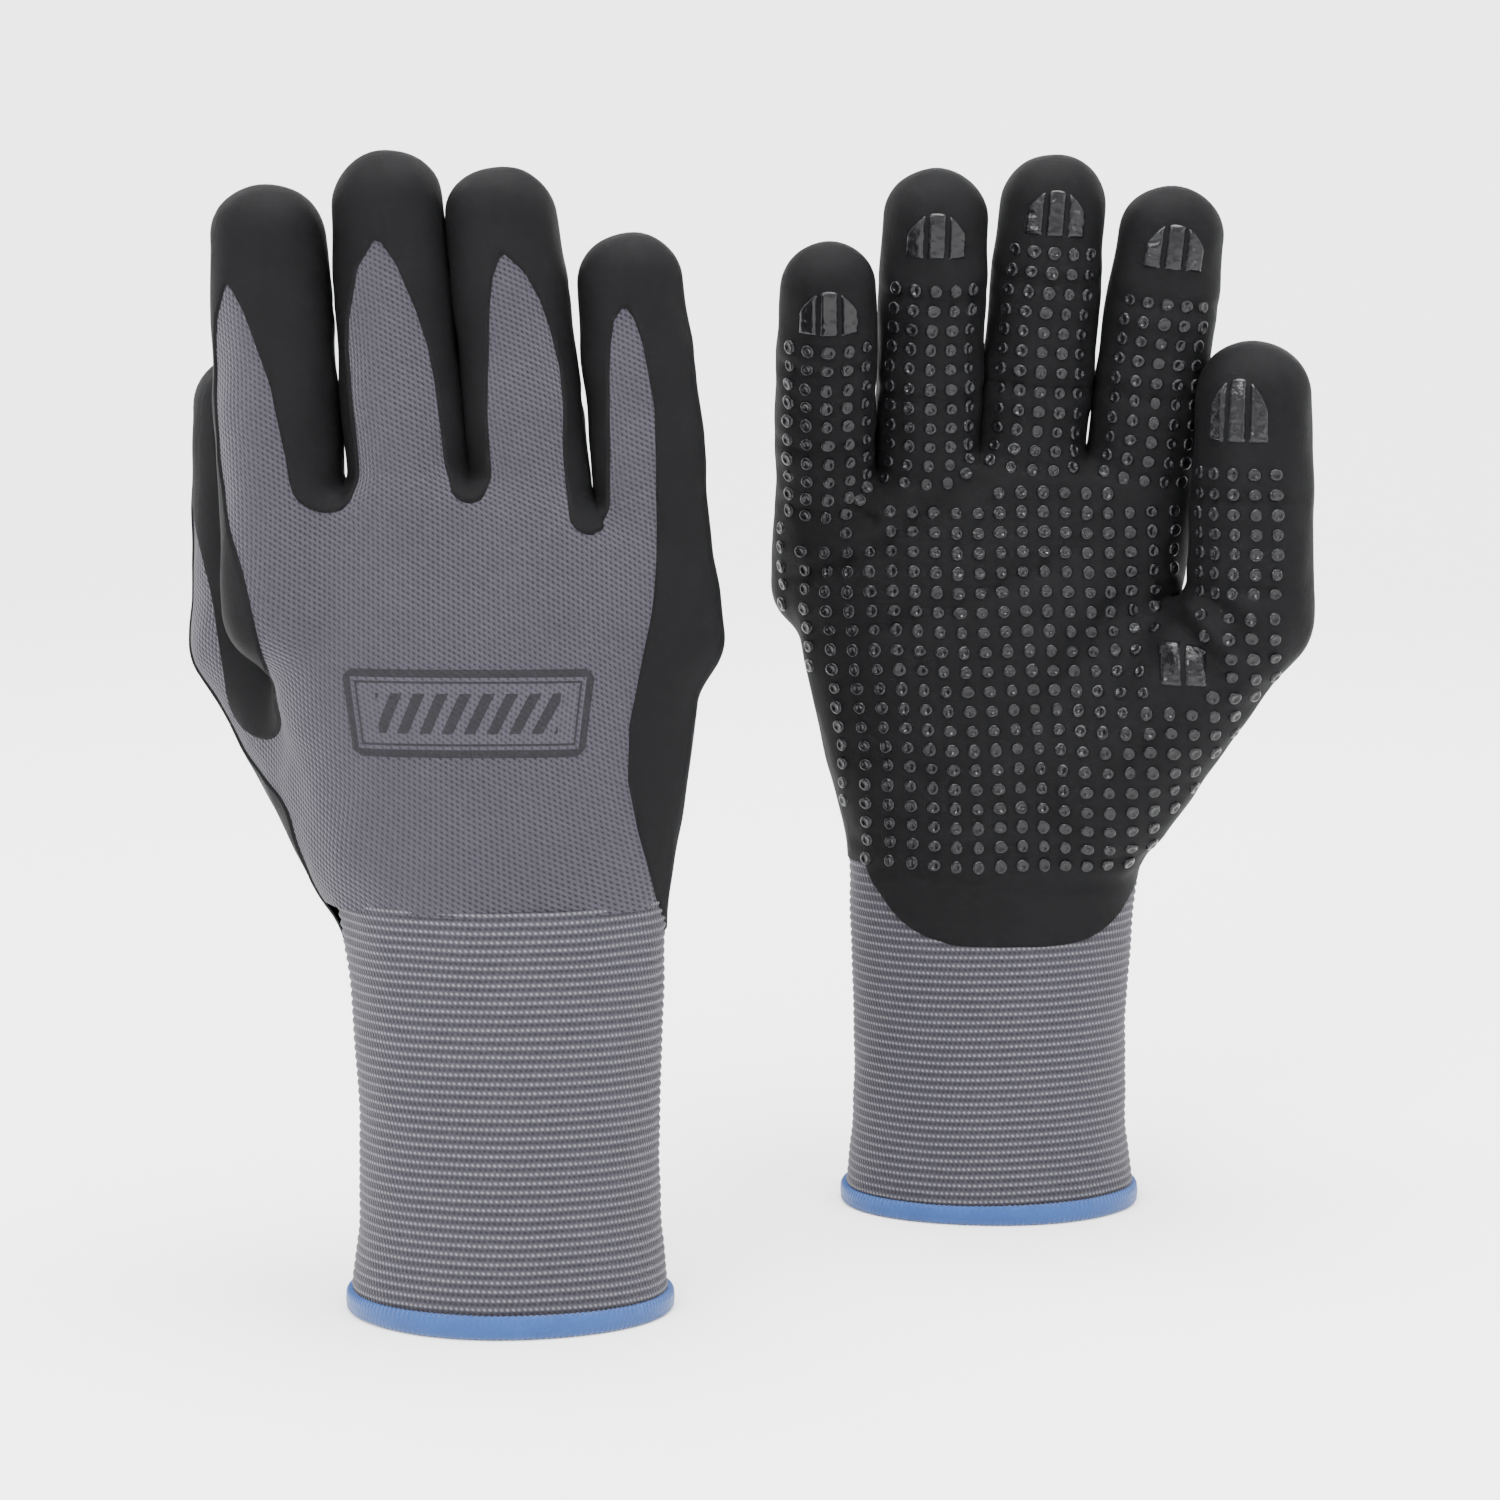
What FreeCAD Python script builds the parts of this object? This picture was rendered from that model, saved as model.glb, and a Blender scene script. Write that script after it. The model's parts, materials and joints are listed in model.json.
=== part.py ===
import FreeCAD, Part
import os
import re

# A pair of coated knitted work gloves in their worn shape, standing fingers up. Millimetres, +Z up.
# Each glove is drawn in its own frame: palm facing -Y, thumb on +X, and z = 0 at the foot of the hem.
# glove1 shows its back to the front, so it is turned half a turn about Z; glove2 shows its palm.

Vector, Rotation, Placement = FreeCAD.Vector, FreeCAD.Rotation, FreeCAD.Placement

SIZES = {
    "knit_wall": 0.8,  # knitted liner
    "coat_wall": 0.6,  # foam coating over the liner
    "print_rise": 0.5,  # gloss print over the coating
    "fold_gap": 0.6,  # between the two sides of a fold
    "hem_height": 5.5,
    "hem_wall": 2.6,
    "hem_round": 1.0,
    "elastic_width": 0.7,
    "elastic_wall": 0.5,
    "elastic_inset": 0.45,  # clear space between the cuff's wall and the elastic
    "elastic_pitch": 4.6,
    "cuff_top": 87.0,
    "cuff_lip": 18.0,  # how far the coating comes down over the cuff
    "lip_front": 5.0,  # the lip covers the cuff's front, from this far before the middle
    "taper": 0.022,  # radius lost per millimetre of finger
    "stub_depth": 20.0,  # how far a finger tube reaches down into the hand
    "dot_radius": 1.5,
    "dot_pitch_x": 4.95,
    "dot_pitch_z": 4.6,
    "print_edge": 4.5,  # how far the first column of dots is in from the hand's edge
    "patch_radius": 5.5,
    "tip_patch_width": 12.0,
    "tip_patch_height": 13.0,
    "tip_patch_below": 5.5,  # from the fingertip down to the patch
    "thumb_base_radius": 18.0,
    "thumb_radius": 13.2,
    "thumb_length": 57.0,
    "thumb_fold": 22.0,
    "coat_back": 3.5,  # the coating wraps round the edges of the hand up to this y
    "tongue_y": 5.2,  # the bare tongue on a finger's back starts at this y
    "tongue_slope": 6.0,  # and closes towards the tip at this angle
}

# Height, centre along x, half width and half depth of the knitted wall, from the cuff up to the knuckles.
CUFF_SECTIONS = {
    "foot": (5.7, 0.0, 34.6, 23.6),
    "flare": (16.0, 0.0, 32.6, 22.2),
    "waist": (45.0, 0.0, 32.0, 21.2),
    "neck": (86.7, 0.6, 34.0, 21.0),
}
HAND_SECTIONS = {
    "wrist": (87.3, 0.6, 34.0, 21.0),
    "heel": (108.0, 1.0, 38.5, 20.0),
    "palm": (132.0, 1.8, 43.5, 18.5),
    "knuckle": (158.0, 2.8, 47.2, 16.0),
    "crown": (172.0, 3.0, 47.8, 12.5),
}

# Root centre x and z, root radius over the coating, length to the tip, and each fold's height over the root.
FINGERS = {
    "index": (40.0, 176.0, 12.2, 67.0, 20.0, 41.0),
    "middle": (14.0, 178.0, 12.3, 72.0, 20.0, 44.0),
    "ring": (-10.5, 176.0, 12.1, 71.0, 21.0, 44.0),
    "little": (-34.0, 170.0, 11.1, 63.0, 17.0, 36.0),
}
FINGER_WORDS = ("root_x", "root_z", "radius", "length", "first_fold", "second_fold")
SECTION_WORDS = ("z", "x", "half_width", "half_depth")

# How each glove is held: where it stands, its turn, the hand's sideways drift and spread at the knuckles,
# each finger's lean towards the thumb and tilt towards the palm in degrees, and the thumb's place and roll.
GLOVES = {
    "glove1": {
        "place": (0.0, 0.0, 0.0),
        "turn": 180.0,
        "drift": 4.0,
        "spread": 1.06,
        "lean": {"index": 2.5, "middle": 4.2, "ring": 7.0, "little": 5.5},
        "tilt": {"index": 4.0, "middle": 4.0, "ring": 4.0, "little": 4.0},
        "thumb_base": (24.0, -7.0, 102.0),
        "thumb_knuckle": (57.5, -28.0, 150.0),
        "thumb_lean": -2.0,
        "thumb_roll": 55.0,
    },
    "glove2": {
        "place": (110.0, 84.0, 0.0),
        "turn": 0.0,
        "drift": -6.0,
        "spread": 1.0,
        "lean": {"index": 6.0, "middle": 4.5, "ring": 1.5, "little": 0.0},
        "tilt": {"index": 6.0, "middle": 4.0, "ring": 11.0, "little": 20.0},
        "thumb_base": (24.0, -6.0, 102.0),
        "thumb_knuckle": (58.2, -15.0, 150.0),
        "thumb_lean": 0.0,
        "thumb_roll": 25.0,
    },
}

CROTCH_PATCH = (42.0, 136.0)  # x and z of the round patch of print beside the thumb's crotch
PRINT_ROWS = (91.0, 164.0)  # lowest and highest z of the palm's rows of dots

doc = FreeCAD.newDocument("work_gloves")
sheet = doc.addObject("Spreadsheet::Sheet", "Sizes")
FLAT = 0.01  # an edge with less height than this is level
REACH = 90.0  # half the side of the plain blocks that choose a part of a shell; past anything on a glove
NODES = []


def driving_sizes():
    """Every size in the sheet, by its alias."""
    sizes = dict(SIZES)
    for group in (CUFF_SECTIONS, HAND_SECTIONS):
        for name, values in group.items():
            sizes.update({f"{name}_{word}": value for word, value in zip(SECTION_WORDS, values)})
    for name, values in FINGERS.items():
        sizes.update({f"{name}_{word}": value for word, value in zip(FINGER_WORDS, values)})
    return sizes


def fill_sheet():
    for row, (alias, value) in enumerate(driving_sizes().items(), 1):
        sheet.set(f"A{row}", repr(float(value)))
        sheet.setAlias(f"A{row}", alias)
    doc.recompute()


def bind(obj, **formulas):
    """Ties an object's properties to the sheet. Words in square brackets are the sheet's aliases."""
    for prop, formula in formulas.items():
        obj.setExpression(prop.replace("__", "."), re.sub(r"\[(\w+)\]", r"Sizes.\1", str(formula)))
    return obj


def cone(name, foot, top, height, place=None):
    obj = doc.addObject("Part::Cone", name)
    bind(obj, Radius1=foot, Radius2=top, Height=height)
    if place:
        obj.Placement = place
    return obj


def boolean(kind, name, base, tool):
    obj = doc.addObject(f"Part::{kind}", name)
    obj.Base, obj.Tool = base, tool
    return obj


def fuse(name, shapes):
    obj = doc.addObject("Part::MultiFuse", name)
    obj.Shapes = shapes
    return obj


def block(name, corner, size, place=None):
    """A plain box used only to choose which part of a shell is kept."""
    obj = doc.addObject("Part::Box", name)
    obj.Length, obj.Width, obj.Height = size
    obj.Placement = Placement(Vector(*corner), Rotation())
    if place:
        obj.Placement = place.multiply(obj.Placement)
    return obj


def finish(obj, node, place):
    """Names a finished sub-part and stands it in the pair's frame."""
    obj.Label = node
    obj.Placement = place
    NODES.append(obj)
    return obj


# ---------------------------------------------------------------- frames

def glove_place(glove):
    pose = GLOVES[glove]
    return Placement(Vector(*pose["place"]), Rotation(Vector(0, 0, 1), pose["turn"]))


def share_up(z):
    """How far up the hand a height is, from 0 at the wrist to 1 at the knuckles."""
    low, high = HAND_SECTIONS["wrist"][0], HAND_SECTIONS["crown"][0]
    return (z - low) / (high - low)


def across(glove, x, z):
    """Where a place x on the plain hand comes to once the hand has drifted and spread."""
    pose = GLOVES[glove]
    return x * spread_at(glove, z) + pose["drift"] * share_up(z)


def spread_at(glove, z):
    return 1 + (GLOVES[glove]["spread"] - 1) * share_up(z)


def finger_place(glove, finger):
    """A finger's frame in its glove: z = 0 at the root, +Z along the finger, -Y to the palm side."""
    pose = GLOVES[glove]
    x, z = FINGERS[finger][:2]
    turn = Rotation(Vector(0, 1, 0), pose["lean"][finger])
    turn = turn.multiply(Rotation(Vector(1, 0, 0), pose["tilt"][finger]))
    return Placement(Vector(across(glove, x, z), 0, z), turn)


def thumb_place(glove):
    pose = GLOVES[glove]
    turn = Rotation(Vector(0, 1, 0), pose["thumb_lean"])
    turn = turn.multiply(Rotation(Vector(0, 0, 1), -pose["thumb_roll"]))
    return Placement(Vector(*pose["thumb_knuckle"]), turn)


# ---------------------------------------------------------------- knitted tube shapes

def elliptic_loft(name, glove, sections, grow, low="", high=""):
    """A closed loft through elliptic sections, grown by a formula. low and high shift its two ends."""
    rings = []
    ends = dict.fromkeys(sections, "")
    ends[list(sections)[0]], ends[list(sections)[-1]] = low, high
    for section, (z, x, _, _) in sections.items():
        ring = doc.addObject("Part::Ellipse", f"{name}_{section}")
        hand = sections is HAND_SECTIONS
        spread = spread_at(glove, z) if hand else 1.0
        bind(
            ring,
            MajorRadius=f"[{section}_half_width] * {spread} + {grow}",
            MinorRadius=f"[{section}_half_depth] + {grow}",
        )
        ring.Placement = Placement(Vector(across(glove, x, z) if hand else x, 0, z), Rotation())
        bind(ring, Placement__Base__z=f"[{section}_z] {ends[section]}")
        rings.append(ring)
    loft = doc.addObject("Part::Loft", name)
    loft.Sections, loft.Solid, loft.Ruled = rings, True, False
    return loft


def tube(name, finger, start, stop, grow, place=None):
    """A tapered length of finger from height start to height stop; both are formulas."""
    radius = "thumb_radius" if finger == "thumb" else f"{finger}_radius"
    return cone(
        name,
        f"[{radius}] - [taper] * ({start}) + {grow}",
        f"[{radius}] - [taper] * ({stop}) + {grow}",
        f"({stop}) - ({start})",
        place,
    )


def raise_by(obj, formula):
    return bind(obj, Placement__Base__z=formula)


def tip_form(name, finger, start, grow):
    """A finger's end: a tapered tube closed by a dome."""
    radius = "thumb_radius" if finger == "thumb" else f"{finger}_radius"
    dome = f"([{radius}] - [taper] * [{finger}_length]) * 1.02"
    stop = f"[{finger}_length] - {dome}"
    shaft = raise_by(tube(name + "_shaft", finger, start, stop, grow), start)
    ball = doc.addObject("Part::Sphere", name + "_dome")
    bind(ball, Radius=f"[{radius}] - [taper] * ({stop}) + {grow}", Placement__Base__z=stop)
    return fuse(name, [shaft, ball])


def tongue_block(name, far):
    """Everything on the palm side of the slanted plane that leaves the bare tongue on the back."""
    slant = Rotation(Vector(1, 0, 0), -SIZES["tongue_slope"])
    place = Placement(Vector(0, SIZES["tongue_y"], 0), slant)
    return block(name, (-REACH, -REACH, -REACH), (2 * REACH, REACH, far + 2 * REACH), place)


def mid_segment(glove, finger):
    """Knitted tube and coating between a finger's two folds."""
    tag = f"{glove}_{finger}_mid"
    start = f"[{finger}_first_fold] + [fold_gap] / 2"
    stop = f"[{finger}_second_fold] - [fold_gap] / 2"
    skin, wall = "-[coat_wall]", "-[coat_wall] - [knit_wall]"
    outer = raise_by(tube(tag + "_outer", finger, start, stop, skin), start)
    inner = raise_by(tube(tag + "_inner", finger, start, stop, wall), start)
    place = glove_place(glove).multiply(finger_place(glove, finger))
    finish(boolean("Cut", tag + "_liner", outer, inner), tag + "_liner", place)
    shell_out = raise_by(tube(tag + "_film", finger, start, stop, "0"), start)
    core = raise_by(tube(tag + "_core", finger, start, stop, skin), start)
    shell = boolean("Cut", tag + "_shell", shell_out, core)
    keep = tongue_block(tag + "_keep", FINGERS[finger][3])
    finish(boolean("Common", tag + "_coating", shell, keep), tag + "_coating", place)


def tip_segment(glove, finger, fold, place):
    """A finger's closed end beyond its last fold: knitted cap, coating and gloss fingertip patch."""
    tag = f"{glove}_{finger}_tip"
    start = f"[{finger}_{fold}] + [fold_gap] / 2"
    skin, wall = "-[coat_wall]", "-[coat_wall] - [knit_wall]"
    cap = boolean("Cut", tag + "_hollow", tip_form(tag + "_outer", finger, start, skin),
                  tip_form(tag + "_inner", finger, start, wall))
    foot = SIZES["thumb_fold"] if finger == "thumb" else FINGERS[finger][5]
    foot += SIZES["fold_gap"] / 2
    finish(trim_foot(cap, tag + "_liner", foot), tag + "_liner", place)
    shell = boolean("Cut", tag + "_shell", tip_form(tag + "_film", finger, start, "0"),
                    tip_form(tag + "_core", finger, start, skin))
    shell = trim_foot(shell, tag + "_shell_trim", foot)
    length = SIZES["thumb_length"] if finger == "thumb" else FINGERS[finger][3]
    keep = tongue_block(tag + "_keep", length)
    finish(boolean("Common", tag + "_coating", shell, keep), tag + "_coating", place)
    pad = boolean("Cut", tag + "_pad", tip_form(tag + "_rise", finger, start, "[print_rise]"),
                  tip_form(tag + "_under", finger, start, "0"))
    width, height = SIZES["tip_patch_width"], SIZES["tip_patch_height"]
    foot = length - SIZES["tip_patch_below"] - height
    window = block(tag + "_window", (-width / 2, -REACH, foot), (width, REACH, height))
    finish(boolean("Common", tag + "_patch", pad, window), tag + "_patch", place)


def trim_foot(obj, name, height):
    """Cuts away whatever a dome's sphere leaves below the fold."""
    below = block(name + "_below", (-REACH, -REACH, height - 2 * REACH), (2 * REACH, 2 * REACH, 2 * REACH))
    return boolean("Cut", name, obj, below)


# ---------------------------------------------------------------- hand

def thumb_root(name, glove, grow):
    """The thumb's tapering base, its knuckle and the short stall up to its fold."""
    pose = GLOVES[glove]
    base, knuckle = Vector(*pose["thumb_base"]), Vector(*pose["thumb_knuckle"])
    along = knuckle - base
    swing = Placement(base, Rotation(Vector(0, 0, 1), along))
    root = cone(name + "_root", f"[thumb_base_radius] - [coat_wall] + {grow}",
                f"[thumb_radius] - [coat_wall] + {grow}", along.Length, swing)
    ball = doc.addObject("Part::Sphere", name + "_ball")
    bind(ball, Radius=f"[thumb_radius] - [coat_wall] + {grow}")
    ball.Placement = Placement(knuckle, Rotation())
    stall = tube(name + "_stall", "thumb", "0", "[thumb_fold] - [fold_gap] / 2", f"{grow} - [coat_wall]",
                 thumb_place(glove))
    return [root, ball, stall]


def palm_and_fingers(name, glove, grow, low="", high=""):
    """The hand up to the fingers' first folds, without its thumb."""
    parts = [elliptic_loft(name + "_palm", glove, HAND_SECTIONS, grow, low, high)]
    for finger in FINGERS:
        place = finger_place(glove, finger)
        sunk = place.multiply(Placement(Vector(0, 0, -SIZES["stub_depth"]), Rotation()))
        parts.append(tube(f"{name}_{finger}", finger, "-[stub_depth]",
                          f"[{finger}_first_fold] - [fold_gap] / 2", f"{grow} - [coat_wall]", sunk))
    return parts


def hand_form(name, glove, grow, low="", high=""):
    """The whole hand up to the folds as one solid, grown by a formula from the knitted wall's outside."""
    thumb = thumb_root(name + "_thumb", glove, grow)
    return fuse(name, palm_and_fingers(name, glove, grow, low, high) + thumb)


def hand(glove):
    """The knitted hand, hollow from the wrist into the fingers and the thumb, and the coating over it."""
    tag = f"{glove}_hand"
    place = glove_place(glove)
    core = hand_form(tag + "_core", glove, "0")
    hollow = hand_form(tag + "_inner", glove, "-[knit_wall]", high="- [knit_wall]")
    finish(boolean("Cut", tag + "_liner", core, hollow), tag + "_liner", place)
    film = hand_form(tag + "_film", glove, "[coat_wall]", high="+ [coat_wall]")
    shell = boolean("Cut", tag + "_shell", film, core)
    low = SIZES["cuff_top"] + SIZES["fold_gap"] / 2
    corner, size = (-REACH, -REACH, low), (2 * REACH, REACH + SIZES["coat_back"], 2 * REACH)
    keep = block(tag + "_keep", corner, size)
    finish(boolean("Common", tag + "_coating", shell, keep), f"{glove}_palm_coating", place)


def grip_print(glove):
    """Rows of gloss dots over the palm and the round patch at the thumb's crotch, as one printed group."""
    tag = f"{glove}_palm_grip_print"
    rise = hand_form(tag + "_rise", glove, "[coat_wall] + [print_rise]", high="+ [coat_wall] + [print_rise]")
    under = hand_form(tag + "_under", glove, "[coat_wall]", high="+ [coat_wall]")
    layer = boolean("Cut", tag + "_layer", rise, under)
    stencil = doc.addObject("Part::Feature", tag + "_stencil")
    stencil.Shape = Part.makeCompound(print_columns(glove))
    finish(boolean("Common", tag, layer, stencil), tag, glove_place(glove))


def print_columns(glove):
    """Columns square to the palm that cut the print's spots out of its layer."""
    edge, dot = SIZES["print_edge"], SIZES["dot_radius"]
    depth = REACH - SIZES["coat_back"]
    patch = Vector(CROTCH_PATCH[0], -REACH, CROTCH_PATCH[1])
    apart = 0.8
    near = SIZES["patch_radius"] + dot + apart
    back = Vector(0, 1, 0)
    columns = [Part.makeCylinder(SIZES["patch_radius"], depth, patch, back)]
    z, top = PRINT_ROWS
    while z < top:
        left, right = edges_at(glove, z)
        x = left + edge
        while x < right - edge:
            spot = Vector(x, -REACH, z)
            if spot.distanceToPoint(patch) > near:
                columns.append(Part.makeCylinder(dot, depth, spot, back))
            x += SIZES["dot_pitch_x"]
        z += SIZES["dot_pitch_z"]
    return columns


def edges_at(glove, z):
    """The hand's left and right edges at a height, straight between its sections."""
    rows = list(HAND_SECTIONS.values())
    for a, b in zip(rows, rows[1:]):
        if a[0] <= z <= b[0]:
            t = (z - a[0]) / (b[0] - a[0])
            x, half = (a[i] + t * (b[i] - a[i]) for i in (1, 2))
            return across(glove, x - half, z), across(glove, x + half, z)
    raise ValueError("no hand section at that height")


# ---------------------------------------------------------------- cuff

def cuff(glove):
    tag = f"{glove}_cuff"
    place = glove_place(glove)
    outer = elliptic_loft(tag + "_outer", glove, CUFF_SECTIONS, "0")
    inner = elliptic_loft(tag + "_inner", glove, CUFF_SECTIONS, "-[knit_wall]")
    finish(boolean("Cut", tag + "_knit", outer, inner), tag + "_knit", place)
    film = elliptic_loft(tag + "_film", glove, CUFF_SECTIONS, "[coat_wall]")
    shell = boolean("Cut", tag + "_shell", film, elliptic_loft(tag + "_core", glove, CUFF_SECTIONS, "0"))
    corner = (-REACH, -REACH, SIZES["cuff_top"] - SIZES["cuff_lip"])
    keep = block(tag + "_keep", corner, (2 * REACH, REACH - SIZES["lip_front"], 2 * SIZES["cuff_lip"]))
    finish(boolean("Common", tag + "_lip", shell, keep), f"{glove}_wrist_coating", place)


def hem(glove):
    """The overlocked edge: a rounded band wrapped round the cuff's foot."""
    tag = f"{glove}_hem"
    bands = []
    sides = {"outer": "([hem_wall] - [knit_wall]) / 2", "inner": "-([hem_wall] + [knit_wall]) / 2"}
    for name, grow in sides.items():
        ring = doc.addObject("Part::Ellipse", f"{tag}_{name}_ring")
        bind(ring, MajorRadius=f"[foot_half_width] + {grow}", MinorRadius=f"[foot_half_depth] + {grow}")
        band = doc.addObject("Part::Extrusion", f"{tag}_{name}")
        band.Base, band.DirMode, band.Dir, band.Solid = ring, "Custom", Vector(0, 0, 1), True
        bind(band, LengthFwd="[hem_height]")
        bands.append(band)
    body = boolean("Cut", tag + "_band", *bands)
    doc.recompute()
    rounded = doc.addObject("Part::Fillet", tag)
    rounded.Base = body
    rounds = SIZES["hem_round"]
    edges = enumerate(body.Shape.Edges, 1)
    rims = [i for i, edge in edges if len(edge.Vertexes) == 1 and edge.BoundBox.ZLength < FLAT]
    rounded.Edges = [(i, rounds, rounds) for i in rims]
    finish(rounded, f"{glove}_hem_overlock", glove_place(glove))


def cuff_elastic(glove):
    """Covered elastic yarns laid round the inside of the cuff, one in every second course."""
    node = f"{glove}_cuff_elastic"
    outside = "-[knit_wall] - [elastic_inset]"
    outer = elliptic_loft(node + "_outer", glove, CUFF_SECTIONS, outside)
    inner = elliptic_loft(node + "_inner", glove, CUFF_SECTIONS, outside + " - [elastic_wall]")
    layer = boolean("Cut", node + "_layer", outer, inner)
    stencil = doc.addObject("Part::Feature", node + "_stencil")
    stencil.Shape = Part.makeCompound(elastic_slabs())
    finish(boolean("Common", node, layer, stencil), node, glove_place(glove))


def elastic_slabs():
    """Flat slabs at the courses' heights that cut the elastic out of its layer."""
    slabs = []
    z = CUFF_SECTIONS["flare"][0]
    while z < CUFF_SECTIONS["neck"][0] - SIZES["elastic_pitch"]:
        slabs.append(Part.makeBox(2 * REACH, 2 * REACH, SIZES["elastic_width"], Vector(-REACH, -REACH, z)))
        z += SIZES["elastic_pitch"]
    return slabs


# ---------------------------------------------------------------- build

def build():
    fill_sheet()
    for glove in GLOVES:
        cuff(glove)
        hem(glove)
        cuff_elastic(glove)
        hand(glove)
        grip_print(glove)
        for finger in FINGERS:
            mid_segment(glove, finger)
            place = glove_place(glove).multiply(finger_place(glove, finger))
            tip_segment(glove, finger, "second_fold", place)
        tip_segment(glove, "thumb", "fold", glove_place(glove).multiply(thumb_place(glove)))
    doc.recompute()


def check():
    """Stops the build at a failed feature or a bad solid."""
    for obj in doc.Objects:
        bad = {"Invalid", "Error"} & set(obj.State)
        if bad:
            raise RuntimeError(f"{obj.Label}: {sorted(bad)}")
    for obj in NODES:
        shape = obj.Shape
        if shape.isNull() or not shape.isValid() or not shape.Solids:
            raise RuntimeError(f"{obj.Label}: no valid solid")


def export():
    os.makedirs("parts", exist_ok=True)
    for obj in NODES:
        obj.Shape.exportStep(f"parts/{obj.Label}.step")
        print(f"{obj.Label}: {len(obj.Shape.Solids)} solids, {obj.Shape.Volume:.0f} mm3")


build()
check()
export()
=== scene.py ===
import json
import math

import bpy
import numpy as np
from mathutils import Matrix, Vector


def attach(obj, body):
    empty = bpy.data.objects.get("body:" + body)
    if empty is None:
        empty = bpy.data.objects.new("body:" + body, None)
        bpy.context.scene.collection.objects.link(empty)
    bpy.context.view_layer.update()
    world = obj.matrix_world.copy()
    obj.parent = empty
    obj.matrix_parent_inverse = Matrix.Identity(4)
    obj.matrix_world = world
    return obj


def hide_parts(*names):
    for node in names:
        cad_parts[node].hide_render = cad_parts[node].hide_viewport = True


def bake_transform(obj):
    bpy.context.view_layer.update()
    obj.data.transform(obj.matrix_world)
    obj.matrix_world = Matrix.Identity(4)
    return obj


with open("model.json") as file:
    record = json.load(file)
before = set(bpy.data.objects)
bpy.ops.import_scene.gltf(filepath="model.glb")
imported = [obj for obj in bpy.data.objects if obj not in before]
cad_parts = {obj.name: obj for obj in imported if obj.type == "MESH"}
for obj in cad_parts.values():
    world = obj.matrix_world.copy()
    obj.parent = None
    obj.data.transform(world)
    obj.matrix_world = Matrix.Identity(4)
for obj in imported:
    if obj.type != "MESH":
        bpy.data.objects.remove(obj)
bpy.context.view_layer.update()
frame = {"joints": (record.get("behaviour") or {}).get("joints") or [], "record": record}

# The looks of a pair of coated knitted gloves. Shapes are worked out in millimetres in each glove's own
# frame: the palm faces -Y, the thumb is on +X, and z = 0 is the foot of the hem. Objects are in metres.

MM = 0.001
FAR = 1e3
JOINTS = {j["name"]: j for j in frame["joints"]}
MOUNTS = {m["name"]: m for m in frame["record"]["mounts"]}
STEP = 1.15  # size of a surface quad

# Height, centre, half width, half depth and squareness of the sleeve, from the hem to the knuckles.
SECTIONS = np.array([
    (0.0, 0.2, 35.0, 23.6, 2.0),
    (8.0, 0.2, 34.3, 23.0, 2.0),
    (18.0, 0.0, 32.8, 22.2, 2.0),
    (45.0, 0.0, 32.6, 21.2, 2.0),
    (72.0, 0.2, 33.6, 21.0, 2.0),
    (88.0, 0.7, 34.8, 21.0, 2.0),
    (108.0, 1.0, 38.6, 20.2, 2.15),
    (132.0, 1.6, 43.0, 18.6, 2.3),
    (158.0, 1.0, 45.4, 15.8, 2.4),
    (176.0, 2.6, 47.4, 12.6, 2.4),
])
PALM_TOP = 181.0
DRIFT_SPAN = (87.3, 172.0)  # the hand leans and spreads more and more between these heights
CUFF_TOP = 92.0
NET_BOX = np.array([(-64.0, -46.0, 62.0), (78.0, 27.0, 258.0)])  # holds the coated surface and the liner

TAPER = 0.022  # a finger's radius falls by this much for each millimetre up it
FINGER_GAP = 0.5
SLIM = 0.8  # the surface is first found with the fingers this slim, so that they stand apart
SEAM_LOW = 8.0  # the hand's piece ends this far up a finger
FOLD_REACH = 9.0  # the ends of a fold's span lie this far each side of it
WRIST_BEND = (73.0, 103.0)

# Place across the plain hand, radius over the coating, length, the two folds, the foot of the web beside
# it, and the bare tongue on its back: height, then how far its edges are from the finger's middle, the
# thumb's side first.
FINGERS = {
    "index": dict(
        home=40.0, radius=12.2, length=67.0, folds=(20.0, 41.0), web=175.4,
        tongue=[(0, 11.0, 4.0), (10, 11.8, 2.9), (25, 12.1, 0.4), (33, 11.8, -2.2), (40, 10.8, -4.5),
                (47, 8, -8)],
    ),
    "middle": dict(
        home=14.0, radius=12.3, length=72.0, folds=(20.0, 44.0), web=177.4,
        tongue=[(0, 10.4, 8.7), (8, 10.2, 8.3), (23, 10.2, 7.9), (31, 10.4, 7.0), (38, 9.5, 5.3),
                (48, 6.8, 1.8), (54, 2, -2)],
    ),
    "ring": dict(
        home=-10.5, radius=12.1, length=71.0, folds=(21.0, 44.0), web=170.7,
        tongue=[(0, 8.6, 7.4), (9, 7.8, 7.9), (20, 7.2, 9.2), (28, 6.1, 9.5), (36, 4.7, 8.5),
                (42, 3.7, 7.4), (48, 2.2, 4.9), (53, -0.5, 0.5)],
    ),
    "little": dict(
        home=-34.0, radius=11.1, length=63.0, folds=(17.0, 36.0), web=None,
        tongue=[(0, 8.9, 0.8), (15, 7.8, 2.2), (26, 6.8, 3.0), (34, 6.0, 2.4), (40, 5.3, 1.8),
                (45, 4.1, 0.5), (48, 1.5, -1.5)],
    ),
}
THUMB = dict(radius=13.2, length=57.0, folds=(22.0,), foot=-6.0)
THUMB_KNIT_TOP = 26.0  # the thumb's bare strip ends this far up it
THUMB_WEB = dict(bottom=124.8, radius=6.5, beside=6.8)  # coated strip on the back, beside the thumb
THUMB_SEAM = 10.0
THUMB_BASE = np.array([26.0, -6.5, 104.0])
THUMB_BASE_RADIUS = 19.0

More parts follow.
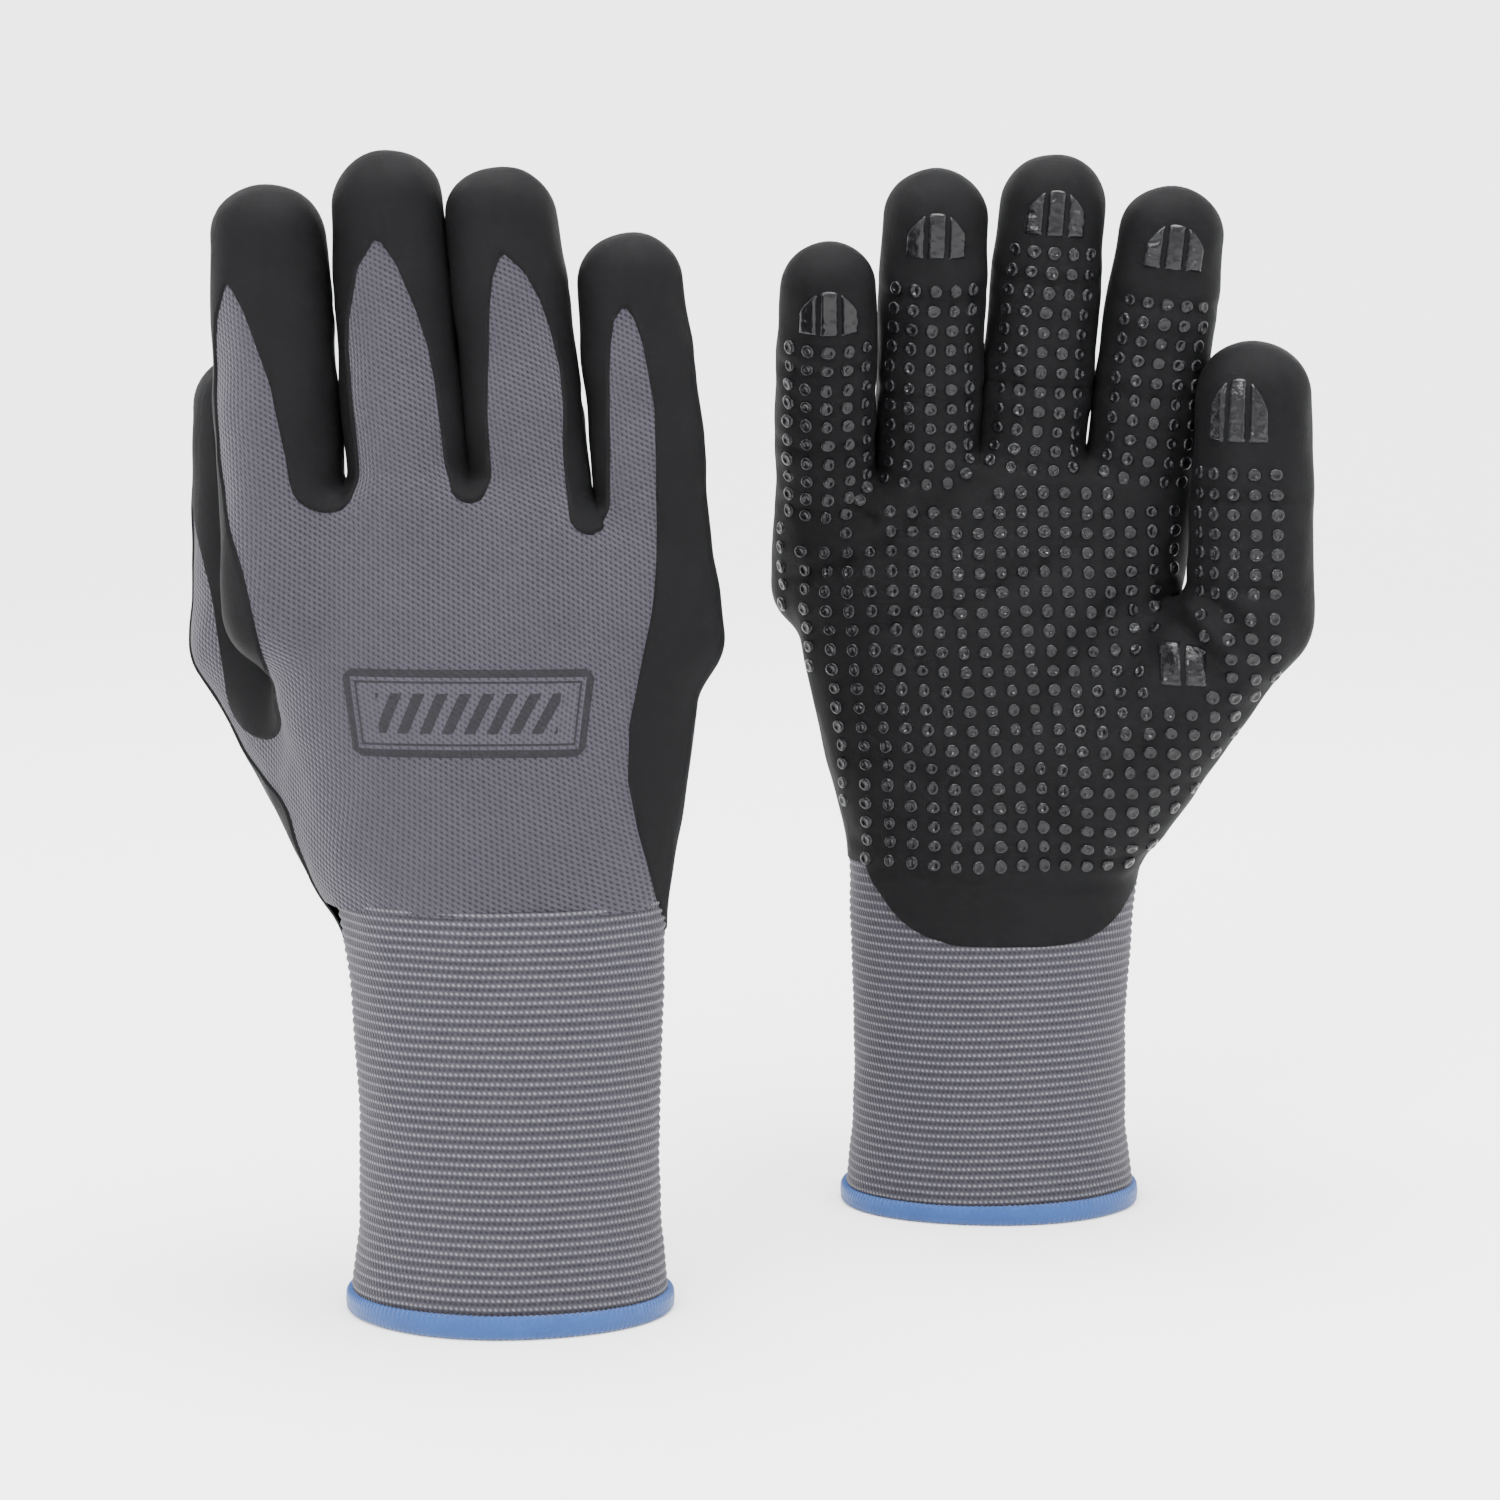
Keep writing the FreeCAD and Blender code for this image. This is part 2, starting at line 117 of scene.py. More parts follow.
FULLNESS = 1.06  # a finger is this much wider than it is deep
COAT = 0.55
EDGE_ROLL = 0.5  # the coating rises to its full thickness over this width
DOT_RADIUS = 1.6
DOT_PITCH = (5.05, 4.55)
COURSE = 1.95  # spacing of the cuff's elastic rows
STITCH = dict(wide=1.0, tall=1.2, slant=-0.45, hole=(0.38, 0.29))  # the holes are in shares of a stitch
PATCH_DROP = 7.0  # a gloss patch begins this far below the fingertip
PATCH_CLEAR = 8.0  # no palm dot stands this near the middle of the crotch patch
DOT_CLEAR = 4.2  # nor this near a finger's dot
BADGE_HALF = (27.0, 9.5)
BADGE_MIDDLE = (4.2, 134.0)  # across the plain hand, and up
BADGE_CORNER = 4.0
PALM_SIDE, BACK_SIDE = -60.0, 45.0  # y of planes clear of the glove, before the palm and behind the back
rng = np.random.default_rng(7)


# ---------------------------------------------------------------- small maths

def smoothstep(low, high, x):
    t = np.clip((x - low) / (high - low), 0, 1)
    return t * t * (3 - 2 * t)


def smooth_min(a, b, reach):
    h = np.clip(0.5 + 0.5 * (b - a) / reach, 0, 1)
    return b * (1 - h) + a * h - reach * h * (1 - h)


def smooth_max(a, b, reach):
    return -smooth_min(-a, -b, reach)


def bump(x, centre, width):
    return np.exp(-(((x - centre) / width) ** 2))


def section(z):
    """Centre, half width, half depth and squareness at each height, with the table's corners eased."""
    ease = 5.0
    rows = []
    for column in range(1, 5):
        values = [np.interp(z + d, SECTIONS[:, 0], SECTIONS[:, column]) for d in (-ease, 0, ease)]
        rows.append(0.25 * values[0] + 0.5 * values[1] + 0.25 * values[2])
    return rows


def ripple(p, size, seed):
    """Smooth pseudo-random swell from a few crossed waves, between about -1 and 1."""
    waves = np.random.default_rng(seed)
    total = np.zeros(len(p))
    for _ in range(6):
        direction = waves.normal(size=3)
        direction *= 2 * np.pi / (size * np.linalg.norm(direction)) * waves.uniform(0.7, 1.4)
        total += np.sin(p @ direction + waves.uniform(0, 6.28))
    return total / 3.5


# ---------------------------------------------------------------- one glove's frame and fields

class Limb:
    """A finger or the thumb: a tapered tube with a domed end, in a frame found from its joints."""

    def __init__(self, name, spec, glove):
        self.name, self.spec = name, spec
        self.radius, self.length = spec["radius"], spec["length"]
        self.seam = THUMB_SEAM if name == "thumb" else SEAM_LOW
        fold = spec["folds"][0]
        first = JOINTS[f"{glove.name}_{name}_end" if name == "thumb" else f"{glove.name}_{name}_knuckle"]
        across = glove.turn.T @ np.array(first["axis"])
        pivot = glove.inward(first["pos_m"])
        if name == "thumb":
            along = np.array([0.0, 0.0, 1.0])
            along = along - across * (along @ across)
            back = np.cross(along, across)
        else:
            last = glove.inward(JOINTS[f"{glove.name}_{name}_end"]["pos_m"])
            along = (last - pivot) / np.linalg.norm(last - pivot)
            back = np.cross(along, across)
            along = along - TAPER * back
        along = along / np.linalg.norm(along)
        back = np.cross(along, across)
        self.axes = np.stack([across, back, along], axis=1)
        palm_side = -(self.radius - TAPER * fold) - 0.1
        self.root = pivot - self.axes @ np.array([0.0, palm_side, fold])

    def into(self, p):
        return (p - self.root) @ self.axes

    def out(self, q):
        return q @ self.axes.T + self.root

    def girth(self, height):
        """Radius at a height, a little fuller at the joints."""
        swell = sum(0.45 * bump(height, fold, 6.5) for fold in self.spec["folds"])
        return self.radius - TAPER * height + swell

    def field(self, p, thin=1.0):
        q = self.into(p)
        tip_radius = (self.radius - TAPER * self.length) * 1.02
        top = self.length - tip_radius
        height = np.clip(q[:, 2], self.spec.get("foot", -22.0), top)
        radius = self.girth(height) * thin
        x = q[:, 0] / FULLNESS
        return np.sqrt(x ** 2 + q[:, 1] ** 2 + (q[:, 2] - height) ** 2) - radius

    def line(self, z):
        """The limb's middle, along x, at a height in the glove's frame."""
        along = self.axes[:, 2]
        return self.root[0] + along[0] / along[2] * (z - self.root[2])


class Glove:
    def __init__(self, name, mount, base_shift):
        self.name = name
        self.origin = np.array(MOUNTS[mount]["pos_m"]) / MM
        across = np.array(JOINTS[f"{name}_wrist"]["axis"])
        self.turn = np.stack([across, np.cross([0, 0, 1], across), [0, 0, 1]], axis=1)
        self.limbs = [Limb(n, s, self) for n, s in FINGERS.items()]
        self.thumb = Limb("thumb", THUMB, self)
        self.all_limbs = self.limbs + [self.thumb]
        share = self.share_up(np.array([limb.root[2] for limb in self.limbs]))
        home = np.array([limb.spec["home"] for limb in self.limbs])
        away = np.array([limb.root[0] for limb in self.limbs]) - home
        fit = np.stack([home * share, share], axis=1)
        self.spread, self.drift = np.linalg.lstsq(fit, away, rcond=None)[0]
        self.thumb_base = THUMB_BASE + np.array([0, base_shift, 0])
        self.thumb_foot = self.thumb.out(np.array([0.0, 0.0, THUMB["foot"]]))

    def inward(self, metres):
        return (np.array(metres) / MM - self.origin) @ self.turn

    def outward(self, p):
        return (p @ self.turn.T + self.origin) * MM

    @staticmethod
    def share_up(z):
        return np.maximum((z - DRIFT_SPAN[0]) / (DRIFT_SPAN[1] - DRIFT_SPAN[0]), 0)

    def across(self, x, z):
        """Where a place on the plain hand comes to once the hand has leant and spread."""
        share = self.share_up(z)
        return x * (1 + self.spread * share) + self.drift * share

    def section(self, z):
        centre, wide, deep, square = section(z)
        return self.across(centre, z), wide * (1 + self.spread * self.share_up(z)), deep, square

    def sleeve(self, p):
        centre, wide, deep, square = self.section(p[:, 2])
        x = np.abs((p[:, 0] - centre) / wide) + 1e-6
        y = np.abs(p[:, 1] / deep) + 1e-6
        size = (x ** square + y ** square) ** (1 / square)
        slope = np.sqrt(((x / size) ** (square - 1) / wide) ** 2 + ((y / size) ** (square - 1) / deep) ** 2)
        side = (size - 1) / np.maximum(slope, 1e-3)
        arch = PALM_TOP - 0.0055 * (p[:, 0] - self.drift - 10) ** 2
        return smooth_max(side, p[:, 2] - arch, 7.0)

    def thumb_root(self, p, thin):
        a, b = self.thumb_base, self.thumb_foot
        along = b - a
        t = np.clip((p - a) @ along / (along @ along), 0, 1)
        radius = (THUMB_BASE_RADIUS + t * (self.thumb.radius - THUMB_BASE_RADIUS)) * thin
        return np.linalg.norm(p - a - t[:, None] * along, axis=1) - radius

    def thumb_middle(self, z):
        """The middle of the thumb and of its root at each height."""
        low, high, along = self.thumb_base, self.thumb_foot, self.thumb.axes[:, 2]
        share = np.clip((z - low[2]) / (high[2] - low[2]), 0, 1)[:, None]
        over = np.maximum(z - high[2], 0)[:, None]
        return low + share * (high - low) + over * along / along[2]

    def field(self, p, thin=1.0):
        """Below zero inside the glove. thin draws the fingers slimmer, so that they stand apart."""
        sleeve = self.sleeve(p)
        whole = sleeve
        for k, limb in enumerate(self.limbs):
            finger = limb.field(p, thin)
            for other, side in ((k - 1, 1), (k + 1, -1)):
                if 0 <= other < len(self.limbs):
                    between = (limb.line(p[:, 2]) + self.limbs[other].line(p[:, 2])) / 2
                    flat = side * (p[:, 0] - between) + FINGER_GAP / 2
                    finger = smooth_max(finger, flat, 1.2)
            whole = np.minimum(whole, smooth_min(sleeve, finger, 4.5))
        thumb = smooth_min(self.thumb_root(p, thin), self.thumb.field(p, thin), 3.0)
        return np.minimum(whole, smooth_min(sleeve, thumb, 8.0))

    def normal(self, p):
        probe = 0.05
        base = self.field(p)
        slope = np.stack([(self.field(p + probe * e) - base) / probe for e in np.eye(3)], axis=1)
        return base, slope

    def settle(self, p, rounds=4):
        """Moves points along the slope onto the surface, and gives the surface's direction there."""
        p = p.copy()
        for _ in range(rounds):
            base, slope = self.normal(p)
            steep = np.maximum((slope ** 2).sum(axis=1), 0.05)
            move = np.clip(base / steep, -3, 3)
            p -= move[:, None] * slope
        _, slope = self.normal(p)
        return p, slope / np.maximum(np.linalg.norm(slope, axis=1), 1e-6)[:, None]


def shares(glove, owner, inside):
    """Each limb, which points belong to it, and those points in its own frame."""
    for k, limb in enumerate(glove.all_limbs):
        mine = owner == k + 1
        yield limb, mine, inside[k][mine]


# ---------------------------------------------------------------- surface building

def surface_net(field, low, high, step):
    """Vertices and quads of the field's zero surface, one vertex in each grid cell that it crosses."""
    axes = [np.arange(a, b + step, step) for a, b in zip(low, high)]
    shape = tuple(len(a) for a in axes)
    grid = np.stack(np.meshgrid(*axes, indexing="ij"), axis=-1)
    value = field(grid.reshape(-1, 3)).reshape(shape)
    cells = tuple(n - 1 for n in shape)
    total = np.zeros(cells + (3,))
    count = np.zeros(cells)
    crossings = []
    for axis in range(3):
        head = [slice(None)] * 3
        tail = [slice(None)] * 3
        head[axis], tail[axis] = slice(0, -1), slice(1, None)
        a, b = value[tuple(head)], value[tuple(tail)]
        crossed = (a < 0) != (b < 0)
        share = np.where(crossed, a / np.where(crossed, a - b, 1), 0)
        point = grid[tuple(head)].copy()
        point[..., axis] += share * step
        crossings.append((crossed, a < 0))
        others = [k for k in range(3) if k != axis]
        for i in (0, 1):
            for j in (0, 1):
                pick = [slice(None)] * 3
                pick[others[0]] = slice(i, i + cells[others[0]])
                pick[others[1]] = slice(j, j + cells[others[1]])
                mask = crossed[tuple(pick)]
                total += np.where(mask[..., None], point[tuple(pick)], 0)
                count += mask
    used = count > 0
    index = np.full(cells, -1)
    index[used] = np.arange(used.sum())
    vertices = total[used] / count[used][:, None]
    quads = []
    for axis, (crossed, inside) in enumerate(crossings):
        first, second = [(1, 2), (2, 0), (0, 1)][axis]
        where = np.argwhere(crossed)
        keep = (where[:, first] > 0) & (where[:, second] > 0)
        keep &= (where[:, first] < cells[first]) & (where[:, second] < cells[second])
        where = where[keep]
        corners = []
        for i, j in ((1, 1), (0, 1), (0, 0), (1, 0)):
            cell = where.copy()
            cell[:, first] -= i
            cell[:, second] -= j
            corners.append(index[tuple(cell.T)])
        quad = np.stack(corners, axis=1)
        flip = ~inside[tuple(where.T)]
        quad[flip] = quad[flip][:, ::-1]
        quads.append(quad)
    return vertices, np.concatenate(quads)


def quad_edges(quads):
    return np.concatenate([quads[:, [k, (k + 1) % 4]] for k in range(4)])


def relax(points, quads, amount):
    """Evens out the spacing of the vertices. An open rim stays where it is."""
    ends = quad_edges(quads)
    total = np.zeros_like(points)
    count = np.bincount(ends.ravel(), minlength=len(points)).astype(float)
    for k in range(3):
        total[:, k] += np.bincount(ends[:, 0], points[ends[:, 1], k], len(points))
        total[:, k] += np.bincount(ends[:, 1], points[ends[:, 0], k], len(points))
    mean = total / np.maximum(count, 1)[:, None]
    pair = np.sort(ends, axis=1)
    _, inverse, uses = np.unique(pair, axis=0, return_inverse=True, return_counts=True)
    rim = np.zeros(len(points), bool)
    rim[pair[uses[inverse.ravel()] == 1].ravel()] = True
    moved = points + amount * (mean - points)
    moved[rim] = points[rim]
    return moved


def triangles_of(points, quads):
    """Splits each quad along its shorter diagonal."""
    a, b, c, d = quads.T
    short = np.linalg.norm(points[a] - points[c], axis=1) < np.linalg.norm(points[b] - points[d], axis=1)
    one = np.where(short[:, None], np.stack([a, b, c], 1), np.stack([a, b, d], 1))
    two = np.where(short[:, None], np.stack([a, c, d], 1), np.stack([b, c, d], 1))
    return np.concatenate([one, two])


def cut(data, triangles, column):
    """Splits the triangles along the line where one column of the vertex data is zero."""
    value = data[:, column].copy()
    value[np.abs(value) < 1e-3] = 1e-3
    data[:, column] = value
    positive = value[triangles] > 0
    count = positive.sum(axis=1)
    mixed = (count == 1) | (count == 2)
    whole, crossed = triangles[~mixed], triangles[mixed]
    odd_sign = (count[mixed] == 1)[:, None]
    odd = np.argmax(positive[mixed] == odd_sign, axis=1)
    rows = np.arange(len(crossed))
    a, b, c = (crossed[rows, (odd + k) % 3] for k in range(3))
    edges = np.sort(np.concatenate([np.stack([a, b], 1), np.stack([a, c], 1)]), axis=1)
    unique, inverse = np.unique(edges, axis=0, return_inverse=True)
    inverse = inverse.ravel()
    v0, v1 = value[unique[:, 0]], value[unique[:, 1]]
    share = (v0 / (v0 - v1))[:, None]
    fresh = data[unique[:, 0]] * (1 - share) + data[unique[:, 1]] * share
    fresh[:, column] = 0.0
    ab, ac = (inverse[: len(a)] + len(data), inverse[len(a):] + len(data))
    pieces = [whole, np.stack([a, ab, ac], 1), np.stack([ab, b, c], 1), np.stack([ab, c, ac], 1)]
    return np.concatenate([data, fresh]), np.concatenate(pieces)


def vertex_normals(points, triangles):
    a, b, c = (points[triangles[:, k]] for k in range(3))
    face = np.cross(b - a, c - a)
    total = np.zeros_like(points)
    for corner in range(3):
        for k in range(3):
            total[:, k] += np.bincount(triangles[:, corner], face[:, k], len(points))
    return total / np.maximum(np.linalg.norm(total, axis=1), 1e-9)[:, None]


# ---------------------------------------------------------------- where the coating lies

# Height, and how far the coating comes round from the little finger's side onto the back.
LITTLE_STRIP = np.array([(86, 0), (90, 1.5), (99, 5), (108, 8.5), (119, 12.0), (131, 13.4), (142, 12.5),
                         (154, 11.2), (166, 10.6), (190, 10.4)])
COAT_FOOT = dict(low=66.4, rise=20.0, middle=3.5, half=35.0, widest=0.97)  # a bowl-shaped lower edge


def arc_from_back(limb, q):
    """Distance round a limb from the middle of its back, positive towards the thumb side."""
    return limb.girth(q[:, 2]) * np.arctan2(q[:, 0], q[:, 1])


def tongue_cover(limb, q):
    """Distance outside the bare tongue on a finger's back."""
    height, thumb_side, little_side = np.array(limb.spec["tongue"], float).T
    arc = arc_from_back(limb, q)
    edges = []
    for reach in (thumb_side, little_side):
        reach = np.interp(q[:, 2], height, reach, right=reach[-1])
        edges.append(limb.radius * np.arcsin(np.clip(reach / (limb.radius * FULLNESS), -0.97, 0.97)))
    sides = smooth_max(arc - edges[0], -arc - edges[1], 1.6)
    return np.maximum(sides, q[:, 2] - height[-1])


def web_strip(x, z, centre, radius, bottom):
    """Above zero in an upright strip with a round foot."""
    below = np.minimum(z - bottom - radius, 0)
    return radius - np.hypot(x - centre, below)


def webs(glove, p):
    """Above zero where the coating comes through between the fingers, and beside the thumb."""
    x, z = p[:, 0], p[:, 2]
    centre, wide, _, _ = glove.section(z)
    cover = web_strip(x, z, centre + wide + THUMB_WEB["beside"], THUMB_WEB["radius"], THUMB_WEB["bottom"])
    for limb, other in zip(glove.limbs, glove.limbs[1:]):
        right = limb.line(z) - limb.spec["tongue"][0][2]
        left = other.line(z) + other.spec["tongue"][0][1]
        strip = web_strip(x, z, (left + right) / 2, np.maximum((right - left) / 2, 3.5), limb.spec["web"])
        cover = np.maximum(cover, strip)
    return cover


def coating(glove, p, owner, inside):
    """Positive where the surface is coated, in millimetres from the coating's edge."""
    centre, wide, _, _ = glove.section(p[:, 2])
    edge = centre - wide
    strip = np.interp(p[:, 2], LITTLE_STRIP[:, 0], LITTLE_STRIP[:, 1])
    axis = glove.thumb_middle(p[:, 2])
    near_thumb = np.minimum(glove.thumb_root(p, 1.0), glove.thumb.field(p))
    outer = smoothstep(6, 1.5, near_thumb) * smoothstep(108, 122, p[:, 2])
    outer *= smoothstep(-8, 0, p[:, 0] - axis[:, 0])
    turn_line = outer * (axis[:, 1] + 1.5)
    hand = smooth_max(turn_line - p[:, 1], edge + strip - p[:, 0], 2.0)
    away = np.abs(p[:, 0] - COAT_FOOT["middle"]) / COAT_FOOT["half"]
    foot = COAT_FOOT["low"] + COAT_FOOT["rise"] * np.minimum(away, COAT_FOOT["widest"]) ** 4
    hand = np.minimum(hand, p[:, 2] - foot)
    cover = smooth_max(hand, webs(glove, p), 1.0)
    for k, limb in enumerate(glove.limbs):
        mine = owner == k + 1
        q = inside[k][mine]
        blend = smoothstep(-2, 6, q[:, 2])
        cover[mine] = cover[mine] * (1 - blend) + tongue_cover(limb, q) * blend
    thumb = owner == len(glove.limbs) + 1
    cover[thumb] = smooth_max(cover[thumb], inside[-1][thumb][:, 2] - THUMB_KNIT_TOP, 2.0)
    return cover


# ---------------------------------------------------------------- folds in the cloth

# Palm creases as lines in the glove's x, z plane, with depth and width.
CREASES = [
    ((-46, 150), (-22, 160), 1.5, 2.6),
    ((-22, 160), (0, 176), 1.6, 2.6),
    ((-38, 138), (-8, 146), 1.1, 3.0),
    ((-8, 146), (24, 160), 1.2, 3.0),
    ((6, 116), (22, 136), 1.3, 3.2),
    ((22, 136), (38, 152), 1.3, 3.0),
    ((24, 104), (42, 122), 1.3, 3.0),
    ((42, 146), (56, 131), 1.7, 2.2),
    ((46, 157), (63, 137), 1.9, 2.4),
    ((-34, 112), (-6, 106), 0.9, 3.2),
]


def fold_depth(p, a, b, width):
    """Depth profile of a crease: a valley with a soft swell on each side."""
    a, b = np.array(a, float), np.array(b, float)
    flat = p[:, [0, 2]]
    t = np.clip((flat - a) @ (b - a) / ((b - a) @ (b - a)), 0, 1)
    away = np.linalg.norm(flat - a - t[:, None] * (b - a), axis=1)
    fade = np.sin(np.pi * np.clip(0.12 + 0.76 * t, 0, 1))
    return fade * (-bump(away, 0, width) + 0.45 * bump(away, 2.3 * width, 1.2 * width))


def relief(glove, p, normal, owner, inside):
    """Height of the cloth's folds and swells over the smooth shape."""
    palm = smoothstep(0.15, 0.6, -normal[:, 1]) * palm_share(glove, owner, inside)
    out = 0.35 * ripple(p, 26, 3) + 0.16 * ripple(p, 9, 4)
    for a, b, depth, width in CREASES:
        ends = [(glove.across(x, z), z) for x, z in (a, b)]
        out += palm * depth * fold_depth(p, *ends, width)
    for limb, mine, q in shares(glove, owner, inside):
        front = smoothstep(-0.2, 0.7, -q[:, 1] / limb.radius)
        crease = np.zeros(len(q))
        for fold in limb.spec["folds"]:
            crease -= 0.8 * front * bump(q[:, 2], fold, 1.5)
            crease += 0.25 * front * (bump(q[:, 2], fold + 4, 2.5) + bump(q[:, 2], fold - 4, 2.5))
        crease -= 0.7 * front * bump(q[:, 2], 1.5, 2.0)
        out[mine] += crease
    wrist = bump(p[:, 2], 84, 8) * 0.35 * np.sin(p[:, 2] * 0.9 + 0.05 * p[:, 0])
    return out + wrist * smoothstep(0.0, 0.6, -normal[:, 1])


def palm_share(glove, owner, inside):
    """One over the palm, easing to nothing up each finger."""
    keep = np.ones(len(owner))
    for _, mine, q in shares(glove, owner, inside):
        keep[mine] = 1 - smoothstep(-4, 4, q[:, 2])
    return keep


# ---------------------------------------------------------------- pieces

def make_object(name, points, faces, uv=None, normals=None):
    """A smooth mesh object from points in metres. Its faces may be a list or an array."""
    mesh = bpy.data.meshes.new(name)
    mesh.from_pydata(points.tolist(), [], faces.tolist() if hasattr(faces, "tolist") else faces)
    mesh.update()
    if uv is not None:
        layer = mesh.uv_layers.new(name="knit")
        corners = np.zeros(len(mesh.loops), np.int32)
        mesh.loops.foreach_get("vertex_index", corners)
        layer.data.foreach_set("uv", uv[corners].astype(np.float32).ravel())
    mesh.polygons.foreach_set("use_smooth", np.ones(len(mesh.polygons), bool))
    if normals is not None:
        mesh.normals_split_custom_set_from_vertices(normals.tolist())
    obj = bpy.data.objects.new(name, mesh)
    bpy.context.scene.collection.objects.link(obj)
    return obj


def make_piece(name, points, faces, look, uv=None, normals=None):
    """A mesh object with its material."""
    piece = make_object(name, points, faces, uv, normals)
    piece.data.materials.append(look)
    return piece


def sub_mesh(points, triangles, *extras):
    """Only the vertices that the triangles use, renumbered."""
    used, inverse = np.unique(triangles, return_inverse=True)
    return (points[used], inverse.reshape(-1, 3)) + tuple(e[used] for e in extras)


def bend_wrist(glove, piece):
    low, high = (glove.outward(np.array([[0.0, 0.0, z]]))[0] for z in WRIST_BEND)
    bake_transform(piece)


def bend_fold(glove, limb, order, piece):
    """Works out the ends of one of a finger's folds, then bakes the piece's placement into its mesh."""
    fold = limb.spec["folds"][order]
    ends = np.array([[0, 0, fold - FOLD_REACH], [0, 0, fold + FOLD_REACH]])
    low, high = glove.outward(limb.out(ends))
    if limb.name == "thumb":
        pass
    elif order == 0:
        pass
    else:
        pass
    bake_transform(piece)


def mid_seam(limb):
    """Height of the seam between a finger's two pieces. The thumb has none."""
    folds = limb.spec["folds"]
    return sum(folds) / 2 if len(folds) == 2 else FAR


def arc_of_ellipse(wide, deep, turn):
    """Arc length of an ellipse from the end of its short axis through an angle."""
    total = np.zeros(len(turn))
    steps = 10
    for k in range(steps):
        t = turn * (k + 0.5) / steps
        total += np.sqrt((wide * np.cos(t)) ** 2 + (deep * np.sin(t)) ** 2) * turn / steps
    return total


def unroll(glove, p, owner, inside, back):
    """Texture place of each point in millimetres, measured round from the back, or from the palm side."""
    side = 1.0 if back else -1.0
    centre, wide, deep, _ = glove.section(p[:, 2])
    x = (p[:, 0] - centre) / wide
    around = np.arctan2(x, side * p[:, 1] / deep)
    u = centre + np.sign(around) * arc_of_ellipse(wide, deep, np.abs(around))
    v = p[:, 2].copy()
    for limb, mine, q in shares(glove, owner, inside):
        mix = smoothstep(-12, 3, q[:, 2])
        across = limb.root[0] + limb.girth(q[:, 2]) * np.arctan2(q[:, 0], side * q[:, 1])
        u[mine] = u[mine] * (1 - mix) + across * mix
        v[mine] = v[mine] * (1 - mix) + (limb.root[2] + q[:, 2]) * mix
    return np.stack([u, v], axis=1)


def owners(glove, p):
    """Which limb each point belongs to, 0 for the hand, and every limb's own coordinates of the points."""
    inside = [limb.into(p) for limb in glove.all_limbs]
    reach = [np.where(q[:, 2] > -14, np.abs(limb.field(p)), FAR) for limb, q in zip(glove.all_limbs, inside)]
    reach = np.stack(reach)
    lines = [limb.line(p[:, 2]) for limb in glove.limbs]
    for k in range(len(lines) - 1):
        past = p[:, 0] - (lines[k] + lines[k + 1]) / 2
        reach[k] += 3 * np.maximum(-past, 0)
        reach[k + 1] += 3 * np.maximum(past, 0)
    nearest = np.argmin(reach, axis=0)
    height = np.choose(nearest, [q[:, 2] for q in inside])
    close = reach.min(axis=0) < np.where(height > 2, 3.0, 8.0)
    return np.where(close, nearest + 1, 0), inside


def surface_chart(points, quads, normal, along, start, rounds=400):
    """Texture places with one millimetre a unit, as even as the surface allows. Their gradients are fitted to
    the directions round and along the cloth, beginning from a rough guess."""
    round_way = np.cross(normal, along)
    round_way /= np.maximum(np.linalg.norm(round_way, axis=1), 0.35)[:, None]
    up_way = along - (along * normal).sum(axis=1)[:, None] * normal
    up_way /= np.maximum(np.linalg.norm(up_way, axis=1), 0.35)[:, None]
    a, b = np.unique(np.sort(quad_edges(quads), axis=1), axis=0).T
    count = len(points)
    step = points[b] - points[a]
    places = []
    for way, guess in ((round_way, start[:, 0]), (up_way, start[:, 1])):
        wanted = (step * (way[a] + way[b]) / 2).sum(axis=1)

        def pull(value):
            return np.bincount(b, value, count) - np.bincount(a, value, count)

        place = guess.copy()
        left = pull(wanted - (place[b] - place[a]))
        search = left.copy()
        size = left @ left
        for _ in range(rounds):
            spread = pull(search[b] - search[a])
            stride = size / max(search @ spread, 1e-12)
            place += stride * search
            left -= stride * spread
            fresh = left @ left
            search = left + fresh / size * search
            size = fresh
            if size < 1e-6:
                break
        places.append(place)
    return np.stack(places, axis=1)


def knit_chart(glove, points, quads, normal, cover, owner, inside):
    """Texture places of the bare knit: even stitches over the hand and up the fingers."""
    along = np.tile([0.0, 0.0, 1.0], (len(points), 1))
    for limb, mine, q in shares(glove, owner, inside):
        share = smoothstep(-10, 6, q[:, 2])[:, None]
        along[mine] = along[mine] * (1 - share) + limb.axes[:, 2] * share
    rough = unroll(glove, points, owner, inside, True)
    bare = cover < 3.0
    kept = quads[bare[quads].all(axis=1)]
    used, inverse = np.unique(kept, return_inverse=True)
    chart = rough.copy()
    kept = inverse.reshape(-1, 4)
    chart[used] = surface_chart(points[used], kept, normal[used], along[used], rough[used])
    return chart


# Columns of the skin's vertex data, after the place and the direction.
COVER, ROLLED, OVER_ROOT, OVER_MID, OVER_CUFF, OWNER, RAISED = range(6, 13)
KNIT_UV, FOAM_UV = slice(13, 15), slice(15, 17)


